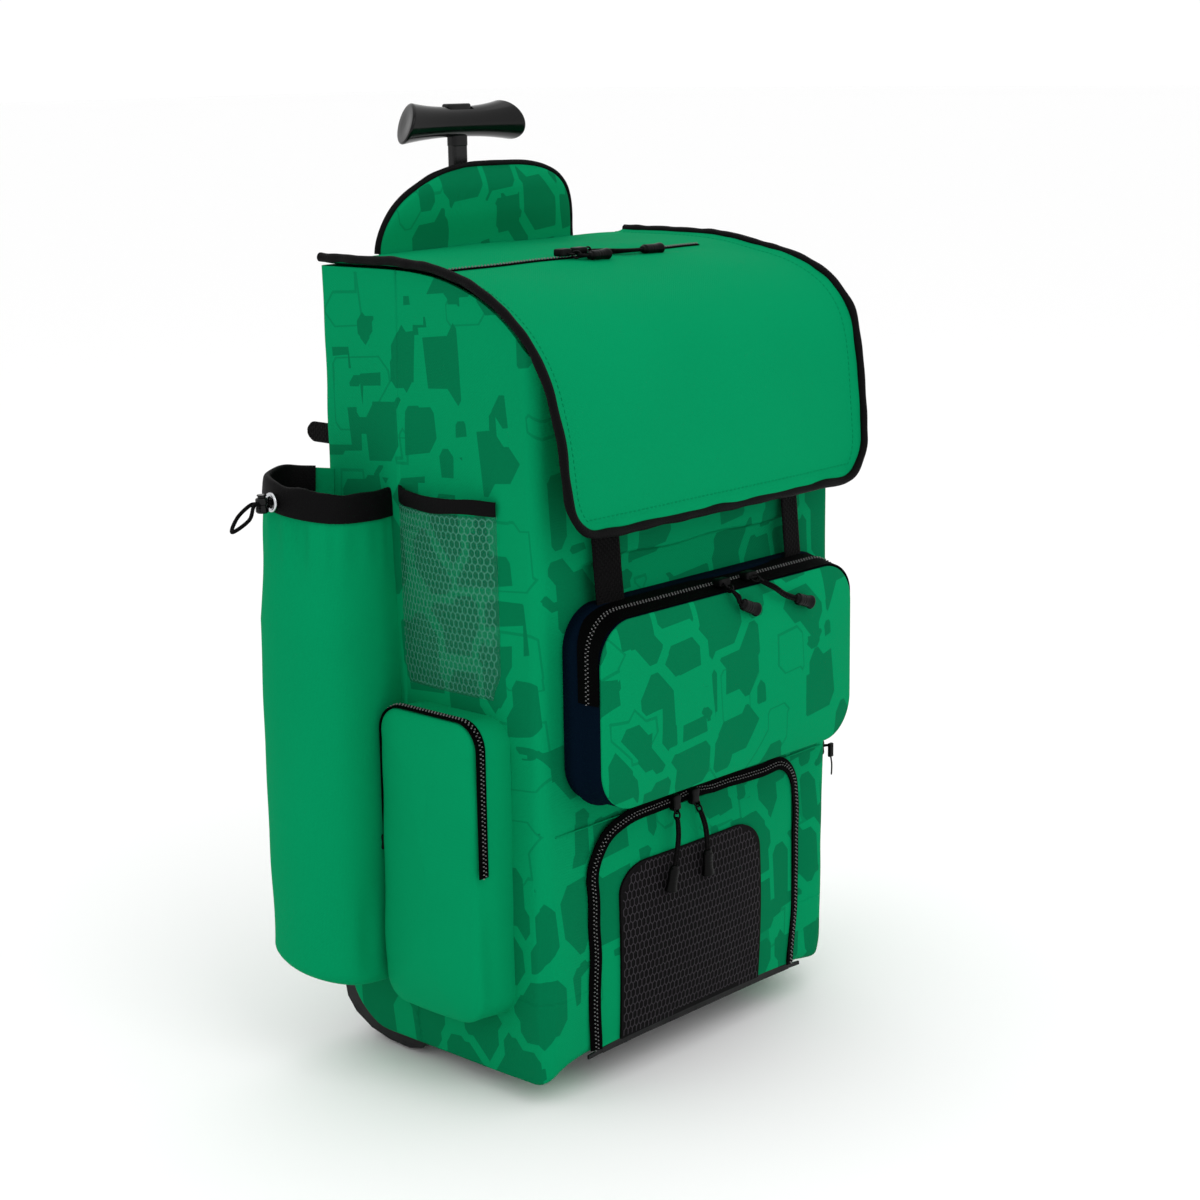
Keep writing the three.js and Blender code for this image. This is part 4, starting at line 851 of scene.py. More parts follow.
threadSizes = dict(pitch=0.0045, long=0.0030, wide=0.0007, high=0.0004, top=0.6)


def stitchPiece(name, path, over, material):
    # a row of short raised threads along a path on the cloth
    t = threadSizes
    at = np.linspace(0.5, len(path) - 1.5, int(lengthsOf(path).sum() / t["pitch"]))
    along = unit(rowsAt(np.gradient(path, axis=0), at))
    up = unit(rowsAt(over, at))
    axes = np.stack([along, unit(np.cross(up, along)), up], axis=1)
    shape = studShape(t["long"], t["wide"], t["high"], t["top"])
    return studsPiece(name, shape, rowsAt(path, at), axes, material)


lidSheet = makeLid()
lidPipe = makePiping()
print("lid made")


# zips: tape and coil

zipSizes = dict(tape=0.0011, crest=0.0004, pitch=0.0032, toothLong=0.0008, toothWide=0.0010, toothHigh=0.0010,
                apart=0.0011)


def archLine(left, right, top, leftEnd, rightEnd, radii, count):
    # an upturned U in two axes, evenly spaced, with the direction that points out of it
    turn = np.linspace(0, np.pi / 2, 16)
    a, b = radii
    first = np.stack([left + a - a * np.cos(turn), top - a + a * np.sin(turn)], axis=1)
    second = np.stack([right - b + b * np.sin(turn), top - b + b * np.cos(turn)], axis=1)
    line = spaced(np.vstack([[(left, leftEnd)], first, second, [(right, rightEnd)]]), count)
    way = unit(np.gradient(line, axis=0))
    return line, np.stack([-way[:, 1], way[:, 0]], axis=1)


def makeZip(name, path, over, width, node):
    # a flat tape along the path with a double row of teeth on its middle, each row half a pitch off
    z = zipSizes
    along, side, over = framesAlong(path, over)
    width = np.broadcast_to(width, len(path))[:, None, None]
    across = np.linspace(-0.5, 0.5, 9)
    rise = z["tape"] + z["crest"] * hump(across, 0, 0.35)
    flat = path[:, None] + across[None, :, None] * width * side[:, None]
    top = flat + rise[None, :, None] * over[:, None]
    tape = gridPiece(f"{name}Tape", top, zipTapeCloth, inner=flat)
    count = int(lengthsOf(path).sum() / z["pitch"] * 2)
    at = np.linspace(0, len(path) - 1, count)
    alongAt, sideAt, overAt = (unit(rowsAt(table, at)) for table in (along, side, over))
    row = np.where(np.arange(count) % 2, 1, -1)[:, None] * z["apart"]
    place = rowsAt(path, at) + sideAt * row + overAt * (z["tape"] + z["crest"] * 0.7)
    tooth = studShape(z["toothLong"], z["toothWide"], z["toothHigh"])
    studsPiece(f"{name}Teeth", tooth, place, np.stack([alongAt, sideAt, overAt], axis=1), zipCoil)
    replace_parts(tape, node)


def makeLidZip():  # a nearly straight line across the lid's top, on its crown
    x = np.linspace(lidZipSizes["left"], lidZipSizes["right"], 80)
    y = lidZipSizes["y"] + 0.0006 * np.sin(x * 70)
    crown = lidSizes["crown"] * lidSizes["crownTop"] * (1 - (x / lidSizes["halfWidth"]) ** 2)
    path = np.stack([x, y, lidHeight(x, y) - 0.0002 + crown], axis=1)
    makeZip("lidZip", path, (0, 0, 1), lidZipSizes["width"], "lid_zip")


makeLidZip()
print("lid zip made")


# front pocket: gusset, face and zip

pocketSizes = dict(half=0.149, bottom=0.236, top=0.388, radius=0.033, depth=0.037, crown=0.006, wall=0.003,
                   slope=0.008, zipWidth=0.020, zipTop=0.027, leftEnd=0.320, rightEnd=0.330, zipLift=0.0007,
                   swell=0.0022, edgeUp=0.0012, roll=0.0018, uneven=0.0007, fineUneven=0.0002)


def roundCorners(x, z, halfX, halfZ, radius, lowToo=True):
    # the corner squares of a rectangle pressed into quarter discs, so that its outline is rounded
    u = np.clip((np.abs(x) - halfX + radius) / radius, 0, 1)
    v = np.clip((np.abs(z) - halfZ + radius) / radius, 0, 1)
    flatZ = np.minimum(np.abs(z), halfZ - radius)
    if not lowToo:
        v = np.where(z < 0, 0, v)
        flatZ = np.where(z < 0, np.abs(z), flatZ)
    newX = np.sign(x) * (np.minimum(np.abs(x), halfX - radius) + radius * u * np.sqrt(1 - v**2 / 2))
    newZ = np.sign(z) * (flatZ + radius * v * np.sqrt(1 - u**2 / 2))
    return newX, newZ


def makeFrontPocket():
    p = pocketSizes
    # gusset: the outline carried straight out, swelling a little behind the zip
    share = np.linspace(0, 1, 14)
    one = np.ones(len(share))
    ring = roundRing(-p["half"] * one, p["half"] * one, p["bottom"] * one, p["top"] - p["slope"] * share,
                     [p["radius"]] * 4, 12, 60, 30)
    out = seat + share * (p["depth"] - seat)
    grid = np.stack([ring[..., 0], np.broadcast_to(-out[:, None], ring.shape[:2]), ring[..., 1]], axis=-1)
    middle = (0, -p["depth"] / 2, (p["bottom"] + p["top"]) / 2)
    outward = grid - wallOf(grid, 1.0, True, middle)
    swell = p["swell"] * hump(share, 0.26, 0.26)[:, None] * (1 + 0.5 * ripple(grid, 31, 0.08))
    grid = grid + outward * swell[..., None]
    under = wallOf(grid, p["wall"], True, middle)
    gusset = gridPiece("pocketGusset", grid, navyCloth, inner=under, around=True)
    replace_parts(gusset, "front_pocket_gusset")

    # face: a pillow over the rounded outline, low at its edge
    crowd = np.pi / 2 * 0.97  # rows crowd together towards the edge
    s, t = (np.sin(np.linspace(-1, 1, count) * crowd) / math.sin(crowd) for count in (96, 60))
    s, t = np.meshgrid(s, t)
    halfZ = (p["top"] - p["slope"] - p["bottom"]) / 2
    x, z = roundCorners(s * p["half"], t * halfZ, p["half"], halfZ, p["radius"])
    pillow = (1 - np.abs(s) ** 5) * (1 - np.abs(t) ** 4)
    out = p["depth"] + seat + p["edgeUp"] + p["roll"] * np.sqrt(pillow) + p["crown"] * pillow
    grid = np.stack([x, -out, z + p["bottom"] + halfZ], axis=-1)
    uneven = ripple(grid, 33, 0.12) * p["uneven"] + ripple(grid, 34, 0.045) * p["fineUneven"]
    grid[..., 1] -= uneven * pillow
    under = grid.copy()
    under[..., 1] = np.minimum(grid[..., 1] + p["wall"], -p["depth"] - seat)
    face = gridPiece("pocketFace", grid, camoCloth, inner=under)
    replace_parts(face, "front_pocket_face")

    # zip: along the gusset's front edge, over the top and down both sides
    ends = (p["leftEnd"], p["rightEnd"])
    line, outOf = archLine(-p["half"], p["half"], p["top"], *ends, [p["radius"]] * 2, 230)
    width = p["zipWidth"] + (p["zipTop"] - p["zipWidth"]) * np.clip(outOf[:, 1], 0, 1) ** 2
    at = p["depth"] - width / 2
    fall = outOf[:, 1] * p["slope"] / p["depth"]
    line = line + outOf * p["zipLift"]
    path = np.stack([line[:, 0], -at, line[:, 1] - fall * at], axis=1)
    over = np.stack([outOf[:, 0], -fall, outOf[:, 1]], axis=1)
    makeZip("frontZip", path, over, width, "front_pocket_zip")


makeFrontPocket()
print("front pocket made")


# shoe door: panel, zip and vent

doorSizes = dict(half=0.122, bottom=0.010, top=0.213, radii=(0.044, 0.026), crown=0.008, zipWidth=0.0105,
                 wall=0.002, uneven=0.0006, zipOut=0.0018, wave=0.0006, slowWave=0.0012, footIn=0.005)
ventSizes = dict(x=-0.014, half=0.083, top=0.176, radii=(0.030, 0.030), cell=0.0046, stretch=1.55,
                 strand=0.0009, high=0.0004, margin=0.001)
lipSizes = dict(half=0.130, height=0.004)


def lipHeight(x):  # the top of the base's front lip, a flat arch across
    across = np.clip(1 - (x / lipSizes["half"]) ** 2, 0, 1)
    return bodySizes["bottom"] + floorRise(x, 0) + lipSizes["height"] * across


def doorOut(x, z):  # how far the door stands out: a parabola across times a half sine up
    d = doorSizes
    across = np.clip(1 - (x / d["half"]) ** 2, 0, 1)
    up = np.sin(np.pi * np.clip((z - d["bottom"]) / (d["top"] - d["bottom"]), 0, 1))
    return seat + d["wall"] + d["crown"] * across * up


def doorPatch(middle, half, top, radii, lift, steps):
    # a patch with two round upper corners, from the lip up, laid on the door's swell
    s, t = np.meshgrid(np.linspace(-1, 1, steps[0]), np.linspace(-1, 1, steps[1]))
    halfZ = top / 2
    x, z = roundCorners(s * half, t * halfZ, half, halfZ, np.where(s < 0, *radii), False)
    x = x + middle
    low = lipHeight(x) + 2 * seat
    z = low + (z + halfZ) / top * (top - low)
    return np.stack([x, -doorOut(x, z) - lift, z], axis=-1), (1 - s**4) * (1 - t**4)


def makeDoor():
    # panel and vent: two patches on one swell, the vent in front of the panel
    d, v = doorSizes, ventSizes
    edge = d["zipWidth"] / 2 - 0.001
    grid, inside = doorPatch(0, d["half"] - edge, d["top"] - edge, np.array(d["radii"]) - edge, 0, (84, 72))
    grid[..., 1] -= np.clip(ripple(grid, 41, 0.09) * d["uneven"] * inside, -0.0004, 0.001)
    panel = gridPiece("doorPanel", grid, camoCloth, inner=grid + (0, d["wall"] - 0.0001, 0))
    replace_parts(panel, "door_panel")

    vent, _ = doorPatch(v["x"], v["half"], v["top"], v["radii"], d["wall"] + seat, (64, 56))
    cloth = gridPiece("ventCloth", vent, ventBlack, inner=vent + (0, d["wall"], 0))
    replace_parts(cloth, "door_vent")
    makeVentNet(v, d)

    # zip: an upturned U that waves a little from side to side
    end = lipHeight(d["half"]) + seat + 0.001
    line, outOf = archLine(-d["half"], d["half"], d["top"], end, end, d["radii"], 300)
    path = np.stack([line[:, 0], np.full(len(line), -seat), line[:, 1]], axis=1)
    wave = d["wave"] * ripple(path, 45, 0.04) + d["slowWave"] * ripple(path, 47, 0.11)
    wave -= d["footIn"] * hump(line[:, 1], end, 0.05) * (line[:, 0] > 0)  # the right leg's foot turns in
    path[:, 0] += outOf[:, 0] * wave
    path[:, 2] += outOf[:, 1] * wave
    path[:, 1] -= d["zipOut"] + 0.0003 * ripple(path, 46, 0.06)
    over = np.stack([0.25 * outOf[:, 0], np.full(len(line), -1.0), 0.25 * outOf[:, 1]], axis=1)
    makeZip("doorZip", path, over, d["zipWidth"], "door_zip")


def hexSegments(width, height, cell, stretch):
    # three edges of every cell of a honeycomb: start and end points in a rectangle from 0,0
    radius = cell / math.sqrt(3)
    rows = int(height / (1.5 * radius * stretch)) + 2
    cols = int(width / cell) + 2
    j, i = np.meshgrid(np.arange(rows), np.arange(cols), indexing="ij")
    centre = np.stack([(i + 0.5 * (j % 2)) * cell, j * 1.5 * radius * stretch], axis=-1).reshape(-1, 1, 2)
    turn = np.radians([30, 90, 150, 210])
    corner = np.stack([radius * np.cos(turn), radius * stretch * np.sin(turn)], axis=-1)
    return (centre + corner[:-1]).reshape(-1, 2), (centre + corner[1:]).reshape(-1, 2)


def netPiece(name, start, end, surface, width, high, material):
    # a flat bar for every segment, laid on the surface along the cloth's normal
    a, b = surface(start[:, 0], start[:, 1]), surface(end[:, 0], end[:, 1])
    step = 0.0004
    toU = surface(start[:, 0] + step, start[:, 1]) - a
    toV = surface(start[:, 0], start[:, 1] + step) - a
    over = unit(np.cross(toU, toV))
    along = b - a
    side = unit(np.cross(over, along)) * width
    bar = studShape(1.08, 1, 1, 0.6)
    axes = np.stack([along, side, np.cross(unit(along), side) / width * -high], axis=1)
    return studsPiece(name, bar, (a + b) / 2, axes, material)


def makeVentNet(v, d):  # honeycomb strands inside the vent's outline
    low = bodySizes["bottom"]
    start, end = hexSegments(2 * v["half"], v["top"] - low, v["cell"], v["stretch"])
    corner = np.array((v["x"] - v["half"], low))
    start, end = start + corner, end + corner
    margin = v["margin"]
    inX = v["half"] - margin

    def within(p):  # inside the rounded outline and above the lip
        x, z = np.abs(p[:, 0] - v["x"]), p[:, 1]
        radius = v["radii"][0]
        turn = np.hypot(np.maximum(0, x - inX + radius), np.maximum(0, z - v["top"] + radius))
        inZ = (z > lipHeight(p[:, 0]) + margin) & (z < v["top"] - margin)
        return (x < inX) & inZ & (turn < radius - margin)

    keep = within(start) & within(end)
    lift = d["wall"] + seat
    surface = lambda x, z: np.stack([x, -doorOut(x, z) - lift, z], axis=-1)
    netPiece("ventStrands", start[keep], end[keep], surface, v["strand"], -v["high"], ventGrey)


makeDoor()
print("door made")


# side pockets with their zips

sideSizes = dict(front=0.031, back=0.140, bottom=0.068, top=0.303, radius=0.020, depth=0.036, crown=0.005,
                 taper=0.008, zipDepth=0.0315, zipWidth=0.009, frontEnd=0.186, backEnd=0.190, zipLift=0.0006,
                 wall=0.002, uneven=0.0011, fineUneven=0.0003, lowSwell=0.003)
sideSteps = [(0.0, 0.0008), (0.0, 0.014), (0.0, 0.0295), (0.0018, 0.0332), (0.009, 0.0363), (0.028, 0.0395),
             (0.040, 0.0404)]  # in from the outline, out from the panel


def makeSidePocket(name, side):
    # rings that follow a bent edge profile from the panel out and over, then draw in to the middle
    p = sideSizes
    steps = curveThrough(sideSteps, 40)
    inset, out = np.maximum(steps[:, 0], 0), steps[:, 1]
    last = np.array([0.75, 0.5, 0.25, 0.03])
    inset = np.concatenate([inset, np.full(len(last), inset[-1])])
    out = np.concatenate([out, out[-1] + (p["depth"] + p["crown"] - out[-1]) * (1 - last)])
    lean = p["taper"] * np.minimum(1, out / p["depth"])
    radius = np.maximum(p["radius"] - inset / 2, 0.008)
    ring = roundRing(p["front"] + lean + inset, p["back"] - inset, p["bottom"] + inset, p["top"] - inset,
                     [radius] * 4, 10, 26, 56)
    middle = np.array([(p["front"] + p["back"]) / 2, (p["bottom"] + p["top"]) / 2])
    shrink = np.concatenate([np.ones(len(steps)), last])[:, None, None]
    ring = middle + (ring - middle) * shrink
    x = np.broadcast_to(bagHalf + out[:, None], ring.shape[:2])
    grid = np.stack([x, ring[..., 0], ring[..., 1]], axis=-1)
    outward = grid - wallOf(grid, 1.0, True, (bagHalf, *middle))
    free = softStep((out - 0.012) / 0.02)[:, None] * (1 - hump(ring[..., 1], p["top"], 0.03))
    uneven = ripple(grid, 51, 0.13) * p["uneven"] + ripple(grid, 52, 0.05) * p["fineUneven"]
    low = p["lowSwell"] * hump(ring[..., 1], 0.12, 0.07) * softStep((out - 0.02) / 0.015)[:, None]
    grid = (grid + outward * (uneven * free + low)[..., None]) * (side, 1, 1)
    under = wallOf(grid, p["wall"], True, (side * bagHalf, *middle))
    pocket = gridPiece(f"sidePocket_{name}", grid, greenCloth, inner=under, around=True, caps=(False, True))
    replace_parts(pocket, f"side_pocket_{name}")

    # zip: over the top of the pocket and part of the way down both edges
    at = p["zipDepth"] - p["zipWidth"] / 2
    front = p["front"] + p["taper"] * at / p["depth"]
    line, outOf = archLine(front, p["back"], p["top"], p["frontEnd"], p["backEnd"], [p["radius"]] * 2, 180)
    path = np.column_stack([np.full(len(line), side * (bagHalf + at)), line + outOf * p["zipLift"]])
    over = np.column_stack([np.zeros(len(line)), outOf])
    makeZip(f"sideZip_{name}", path, over, p["zipWidth"], f"side_zip_{name}")


for name, side in sides.items():
    makeSidePocket(name, side)
print("side pockets made")


# net pockets

netSizes = dict(front=0.038, back=0.142, bottom=0.316, top=0.455, bulge=0.016, slack=0.25, wall=0.0008,
                pinch=0.007, pinchHigh=0.16, edgeHigh=0.012, edgeWall=0.0022, edgeWave=0.0008, cell=0.0046,
                stretch=1.4, strand=0.0006, strandHigh=0.00015, strandOut=0.0002)


def netPoint(side, y, z):  # the net's surface: a half sine across, fuller towards the top
    n = netSizes
    up = np.clip((z - n["bottom"]) / (n["top"] - n["bottom"]), 0, 1.1)
    across = np.clip(np.sin(np.pi * (y - n["front"]) / (n["back"] - n["front"])), 0, 1)
    out = seat + 0.002 + n["bulge"] * across**0.8 * (n["slack"] + (1 - n["slack"]) * up)
    return np.stack([side * (bagHalf + out), y, z], axis=-1)


def makeNet(name, side):
    # a thin sheet pinched in at its foot, honeycomb strands on it and a bound top edge
    n = netSizes
    up = np.linspace(0, 1, 34)
    pinch = n["pinch"] * hump(up, 0, n["pinchHigh"])[:, None]
    y = n["front"] + pinch + np.linspace(0, 1, 40) * (n["back"] - n["front"] - 2 * pinch)
    z = np.broadcast_to((n["bottom"] + up * (n["top"] - n["bottom"]))[:, None], y.shape)
    grid = netPoint(side, y, z)
    film = gridPiece(f"netSheet_{name}", grid, netFilm, inner=wallOf(grid, n["wall"]))
    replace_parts(film, f"mesh_pocket_{name}")
    start, end = hexSegments(n["back"] - n["front"], n["top"] - n["bottom"], n["cell"], n["stretch"])
    start, end = start + (n["front"], n["bottom"]), end + (n["front"], n["bottom"])

    def within(p):  # inside the pinched outline
        edge = n["pinch"] * hump((p[:, 1] - n["bottom"]) / (n["top"] - n["bottom"]), 0, n["pinchHigh"])
        inY = (p[:, 0] > n["front"] + edge) & (p[:, 0] < n["back"] - edge)
        return inY & (p[:, 1] > n["bottom"]) & (p[:, 1] < n["top"])

    keep = within(start) & within(end)
    surface = lambda a, b: netPoint(side, a, b) + np.array([side * n["strandOut"], 0, 0])
    strands = netPiece(f"netStrands_{name}", start[keep], end[keep], surface, n["strand"],
                       side * n["strandHigh"], netGrey)

    # binding: a flat band on the net's top edge
    high = np.linspace(seat, n["edgeHigh"], 8)
    y = np.linspace(n["front"], n["back"], 50)
    y, up = np.meshgrid(y, high)
    band = netPoint(side, y, n["top"] + up)
    full = netPoint(side, y, np.full(y.shape, n["top"]))
    band[..., 0] = full[..., 0] + side * (0.0006 + 0.0004 * np.sin(np.pi * (up / n["edgeHigh"])))
    band[..., 2] += n["edgeWave"] * ripple(band, 61, 0.04)
    edge = gridPiece(f"netBinding_{name}", band, blackTrim, inner=wallOf(band, n["edgeWall"]))
    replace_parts(edge, f"mesh_binding_{name}")


# the film's tint is the fine netting's own colour and also paints the shade that falls behind the net, since
# shadow and diffuse rays mostly pass through it
netLook = dict(film=(0.020, 0.095, 0.065, 1), filmAlpha=0.22, strand=(0.057, 0.195, 0.145), through=0.85)
filmLook = {"Base Color": netLook["film"], "Roughness": 0.8, "Specular IOR Level": 0.05}
strandLook = dict(colour=netLook["strand"], rough=0.7, gloss=0.02, grain=0.05, bump=0.02)


def letThrough(made, alpha):  # most of the light on its way to the cloth behind passes the fine net
    tree = made["tree"]
    ray = addNode(tree, "ShaderNodeLightPath").outputs
    either = mathNode(tree, "MAXIMUM", ray["Is Shadow Ray"], ray["Is Diffuse Ray"])
    left = mathNode(tree, "MULTIPLY_ADD", either, -alpha * netLook["through"], alpha)
    tree.links.new(left, made["shader"].inputs["Alpha"])
    return made


netFilm = letThrough(newMaterial("netFilm", "net", filmLook), netLook["filmAlpha"])
netGrey = letThrough(hardMaterial("netGrey", "net", strandLook), 1.0)
for name, side in sides.items():
    makeNet(name, side)
print("net pockets made")


# sleeves with their bindings

bindingFold = np.array([(2.2, 20), (2.5, 12), (2.4, 5), (2.1, 1), (1.4, -0.8), (0.0, -1.5), (-1.6, -1.5),
                        (-2.9, -0.8), (-3.5, 1), (-3.6, 18), (-2.4, 18), (-2.3, 0.2), (-2.0, -0.3),
                        (0.0, -0.3), (0.4, 0.2), (0.4, 20)]) / 1000  # out from the wall, down from the rim


def sleeveWall(side, section, shrink, z, lift):
    # the plan section shrunk about the seam line and set off by lift along its own normal
    place, way = section
    seamY = sleeveSizes["seamY"]
    out = np.maximum(seat, place[..., 0] * shrink + way[..., 1] * lift)
    y = seamY + (place[..., 1] - seamY) * shrink - way[..., 0] * lift
    return np.stack([side * (bagHalf + out), y, z], axis=-1)


def makeSleeve(name, side):
    # from the rim: the narrowing mouth, the straight wall, the round lower edge and the floor,
    # each a block of rows with a height and a share of the section's size
    s = sleeveSizes
    share = np.linspace(0, 1, 92)
    section = sectionAt(share)
    y = section[0][:, 1]
    rim, floor = sleeveRim(y), s["bottom"] + s["rise"] * sleeveBack(y)
    upper = np.linspace(0, s["mouthHeight"], 26)[:, None]
    levels = [rim - upper]
    shrinks = [mouthAt(upper) + 0 * y]
    t = np.linspace(0, 1, 52)[1:, None]
    levels.append((rim - s["mouthHeight"]) * (1 - t) + (floor + s["floorRadius"]) * t)
    shrinks.append(np.ones((len(t), len(y))))
    turn = np.linspace(0, np.pi / 2, 10)[1:, None]
    levels.append(floor + s["floorRadius"] * (1 - np.sin(turn)))
    shrinks.append(1 - s["floorShrink"] * (1 - np.cos(turn)) + 0 * y)
    t = np.linspace(0, 1, 9)[1:, None]
    levels.append(floor * (1 - t) + (s["bottom"] + s["rise"] / 2) * t)
    shrinks.append((1 - s["floorShrink"]) * (1 - t) + 0.02 * t + 0 * y)
    z, shrink = np.vstack(levels), np.vstack(shrinks)

    # soft dents: slow swells, gathers and one deep fold under the binding, and a crease low down
    down = rim - z
    flat = np.stack([share * 0.26 + 0 * z, z, 0 * z], axis=-1)
    free = np.sin(np.pi * share) ** 0.5 * softStep(down / 0.03) * softStep((z - floor) / 0.02)
    gather = np.sin(share * 92 + 2.0 * np.sin(share * 17)) * hump(down, 0.036, 0.034)
    dent = s["dent"] * hump(share, s["dentAt"], 0.07) * hump(down, 0.036, 0.055)
    dent = dent + s["crease"] * hump(share, s["creaseAt"], 0.05) * hump(z - floor, 0.035, 0.06)
    uneven = ripple(flat, 71, 0.17) * s["uneven"] + ripple(flat, 72, 0.055) * s["fineUneven"]
    grid = sleeveWall(side, section, shrink, z, free * (uneven + gather * s["gather"] - dent))
    inside = (side * (bagHalf + 0.02), s["seamY"], s["waist"])
    under = wallOf(grid, s["wall"], toward=inside)
    under[..., 0] = side * np.maximum(side * under[..., 0], bagHalf + seat)
    sleeve = gridPiece(f"sleeve_{name}", grid, greenCloth, inner=under)
    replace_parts(sleeve, f"bat_sleeve_{name}")

    # binding: a strip folded over the rim, as a U-shaped profile carried along the mouth
    share = np.linspace(0, s["bindingEnd"], 110)
    section = [part[:, None] for part in sectionAt(share)]
    place = section[0]
    wave = s["wave"] * ripple(np.column_stack([place[:, 0], 0 * share]), 75, 0.03)
    wave *= np.sin(np.pi * np.linspace(0, 1, len(share))) ** 0.5
    lift, foldDown = bindingFold.T
    drop = foldDown - wave[:, None] * np.clip(1 - foldDown / 0.02, 0, 1)
    band = sleeveWall(side, section, mouthAt(drop), sleeveRim(place[..., 1]) - drop, lift)
    binding = solidPiece(f"sleeveBinding_{name}", band, blackTrim)
    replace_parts(binding, f"sleeve_binding_{name}")


for name, side in sides.items():
    makeSleeve(name, side)
print("sleeves made")


# web straps and seam tabs

strapSizes = dict(x=0.108, left=0.030, right=0.020, wall=0.0018)
strapProfile = [(-0.013, 0.3862), (-0.009, 0.424), (-0.005, 0.470), (-0.0024, 0.520)]  # y, z


def webProfile(width, wall):  # a flat strip with thick, rounded edges
    across = np.linspace(-0.5, 0.5, 13)
    thick = wall / 2 * (0.75 + 0.25 * hump(np.abs(across), 0.46, 0.1))
    thick *= np.sqrt(np.clip(1 - (2.0 * across) ** 16, 0.05, 1))
    top = np.stack([across * width, thick], axis=1)
    return np.vstack([top, (top * (1, -1))[::-1]])


def makeStraps():  # a web profile carried from under the lid down to the pocket
    for name, side in sides.items():
        line = curveThrough(strapProfile, 60)
        path = np.column_stack([np.full(len(line), side * strapSizes["x"]), line])
        path[:, 1] += 0.001 + 0.0004 * ripple(path, 81, 0.05)
        web = webProfile(strapSizes[name], strapSizes["wall"])
        strap = solidPiece(f"lidStrap_{name}", sweep(path, web, (0, -1, 0)), blackWeb)
        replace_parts(strap, f"lid_strap_{name}")


tabSizes = dict(z=0.497, high=0.016, reach=0.030, wall=0.003, inset=0.008)


def makeTabs():  # a short web strip whose end is a half circle
    t = tabSizes
    half = t["high"] / 2
    start = bodySizes["depth"] + seat
    bend = start + t["reach"] - half
    turn = np.linspace(0, np.pi / 2, 14)[1:]
    y = np.concatenate([np.linspace(start, bend, 12), bend + half * np.sin(turn)])
    width = np.concatenate([np.ones(12), np.maximum(np.cos(turn), 0.08)])
    profile = webProfile(t["high"], t["wall"]) * np.column_stack([width, np.ones(len(y))])[:, None]
    for name, side in sides.items():
        path = np.column_stack([np.full(len(y), side * (bagHalf - t["inset"])), y, np.full(len(y), t["z"])])
        tab = solidPiece(f"seamTab_{name}", sweep(path, profile, (1, 0, 0)), blackWeb)
        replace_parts(tab, f"seam_tab_{name}")


makeStraps()
makeTabs()
print("straps and tabs made")


# padded back with its raised head

backSizes = dict(half=0.108, bottom=0.096, shoulder=0.632, top=0.695, wall=0.007, leftPower=1.9,
                 rightPower=3.8, binding=0.0024, puff=0.005, spine=0.017, channel=0.088, gripRest=0.598,
                 rimIn=0.0025, frontIn=0.0022, headFull=0.004, uneven=0.0006)


def headHalf(z, power):  # half the width at a height: straight up to the shoulder, a superellipse above it
    b = backSizes
    up = np.clip((z - b["shoulder"]) / (b["top"] - b["shoulder"]), 0, 1)
    half = b["half"] * (1 - up**power) ** (1 / power)
    return np.maximum(half, 0.004) - 0.012 * hump(z, b["bottom"], 0.012)


def makeBack():
    # two faces over one outline, thin at the rim; the back face swells in channels beside the handle
    b = backSizes
    head = np.sin(np.linspace(0, np.pi / 2, 34))[1:] * (b["top"] - b["shoulder"])
    z = np.concatenate([np.linspace(b["bottom"], b["shoulder"], 96), b["shoulder"] + head])
    s = np.sin(np.linspace(-1, 1, 64) * np.pi / 2)
    x = np.where(s < 0, headHalf(z, b["leftPower"])[:, None], headHalf(z, b["rightPower"])[:, None]) * s
    z = np.broadcast_to(z[:, None], x.shape)
    rim = np.sqrt(np.clip(1 - s**2, 0, 1)) ** 0.7
    ends = softStep((z - b["bottom"]) / 0.02) * np.sqrt(softStep((b["top"] - z) / 0.02))
    soft = rim * ends
    front = bodySizes["depth"] + seat
    back = front + b["wall"]
    inChannel = (z - b["bottom"]) % b["channel"]
    seam = hump(inChannel, 0, 0.012) + hump(inChannel, b["channel"], 0.012)
    beside = softStep((np.abs(x) - b["spine"]) / 0.022)
    above = softStep((z - b["shoulder"]) / 0.03)
    rest = softStep((z - b["gripRest"]) / 0.026)  # flat where the grip lies when the handle is pushed in
    puff = b["puff"] * soft * np.maximum(beside * (1 - 0.75 * seam), 0) * (1 - rest)
    grid = np.stack([x, back - b["rimIn"] * (1 - soft) + puff - 0.0008 * rest, z], axis=-1)
    grid[..., 1] += b["uneven"] * ripple(grid, 91, 0.07) * beside * soft * (1 - rest)
    under = grid.copy()
    full = above * soft * (b["headFull"] + 0.0005 * ripple(grid, 92, 0.06))
    under[..., 1] = front + b["frontIn"] * (1 - soft) - full
    pad = gridPiece("backPad", grid, camoCloth, inner=under)
    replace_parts(pad, "back_panel")

    # binding: a tube along the outline of the head, just outside the rim
    turn = np.linspace(0, np.pi, 160)
    shift = b["binding"] - 0.0008
    c, w = np.cos(turn), np.sin(turn)
    power = 2 / np.where(c < 0, b["leftPower"], b["rightPower"])
    px = (b["half"] + shift) * np.sign(c) * np.abs(c) ** power
    pz = b["shoulder"] + (b["top"] + shift - b["shoulder"]) * w**power
    path = spaced(np.column_stack([px, np.full(len(px), front + b["wall"] / 2), pz]), 160)
    path[:, 1] += 0.0003 * ripple(path, 93, 0.03)
    radius = b["binding"] * (1 + 0.05 * ripple(path, 94, 0.02))
    binding = tubePiece("backBinding", path, radius, blackTrim, up=(0, 1, 0))
    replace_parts(binding, "back_binding")


makeBack()
print("back made")


# handle: grip, neck and button

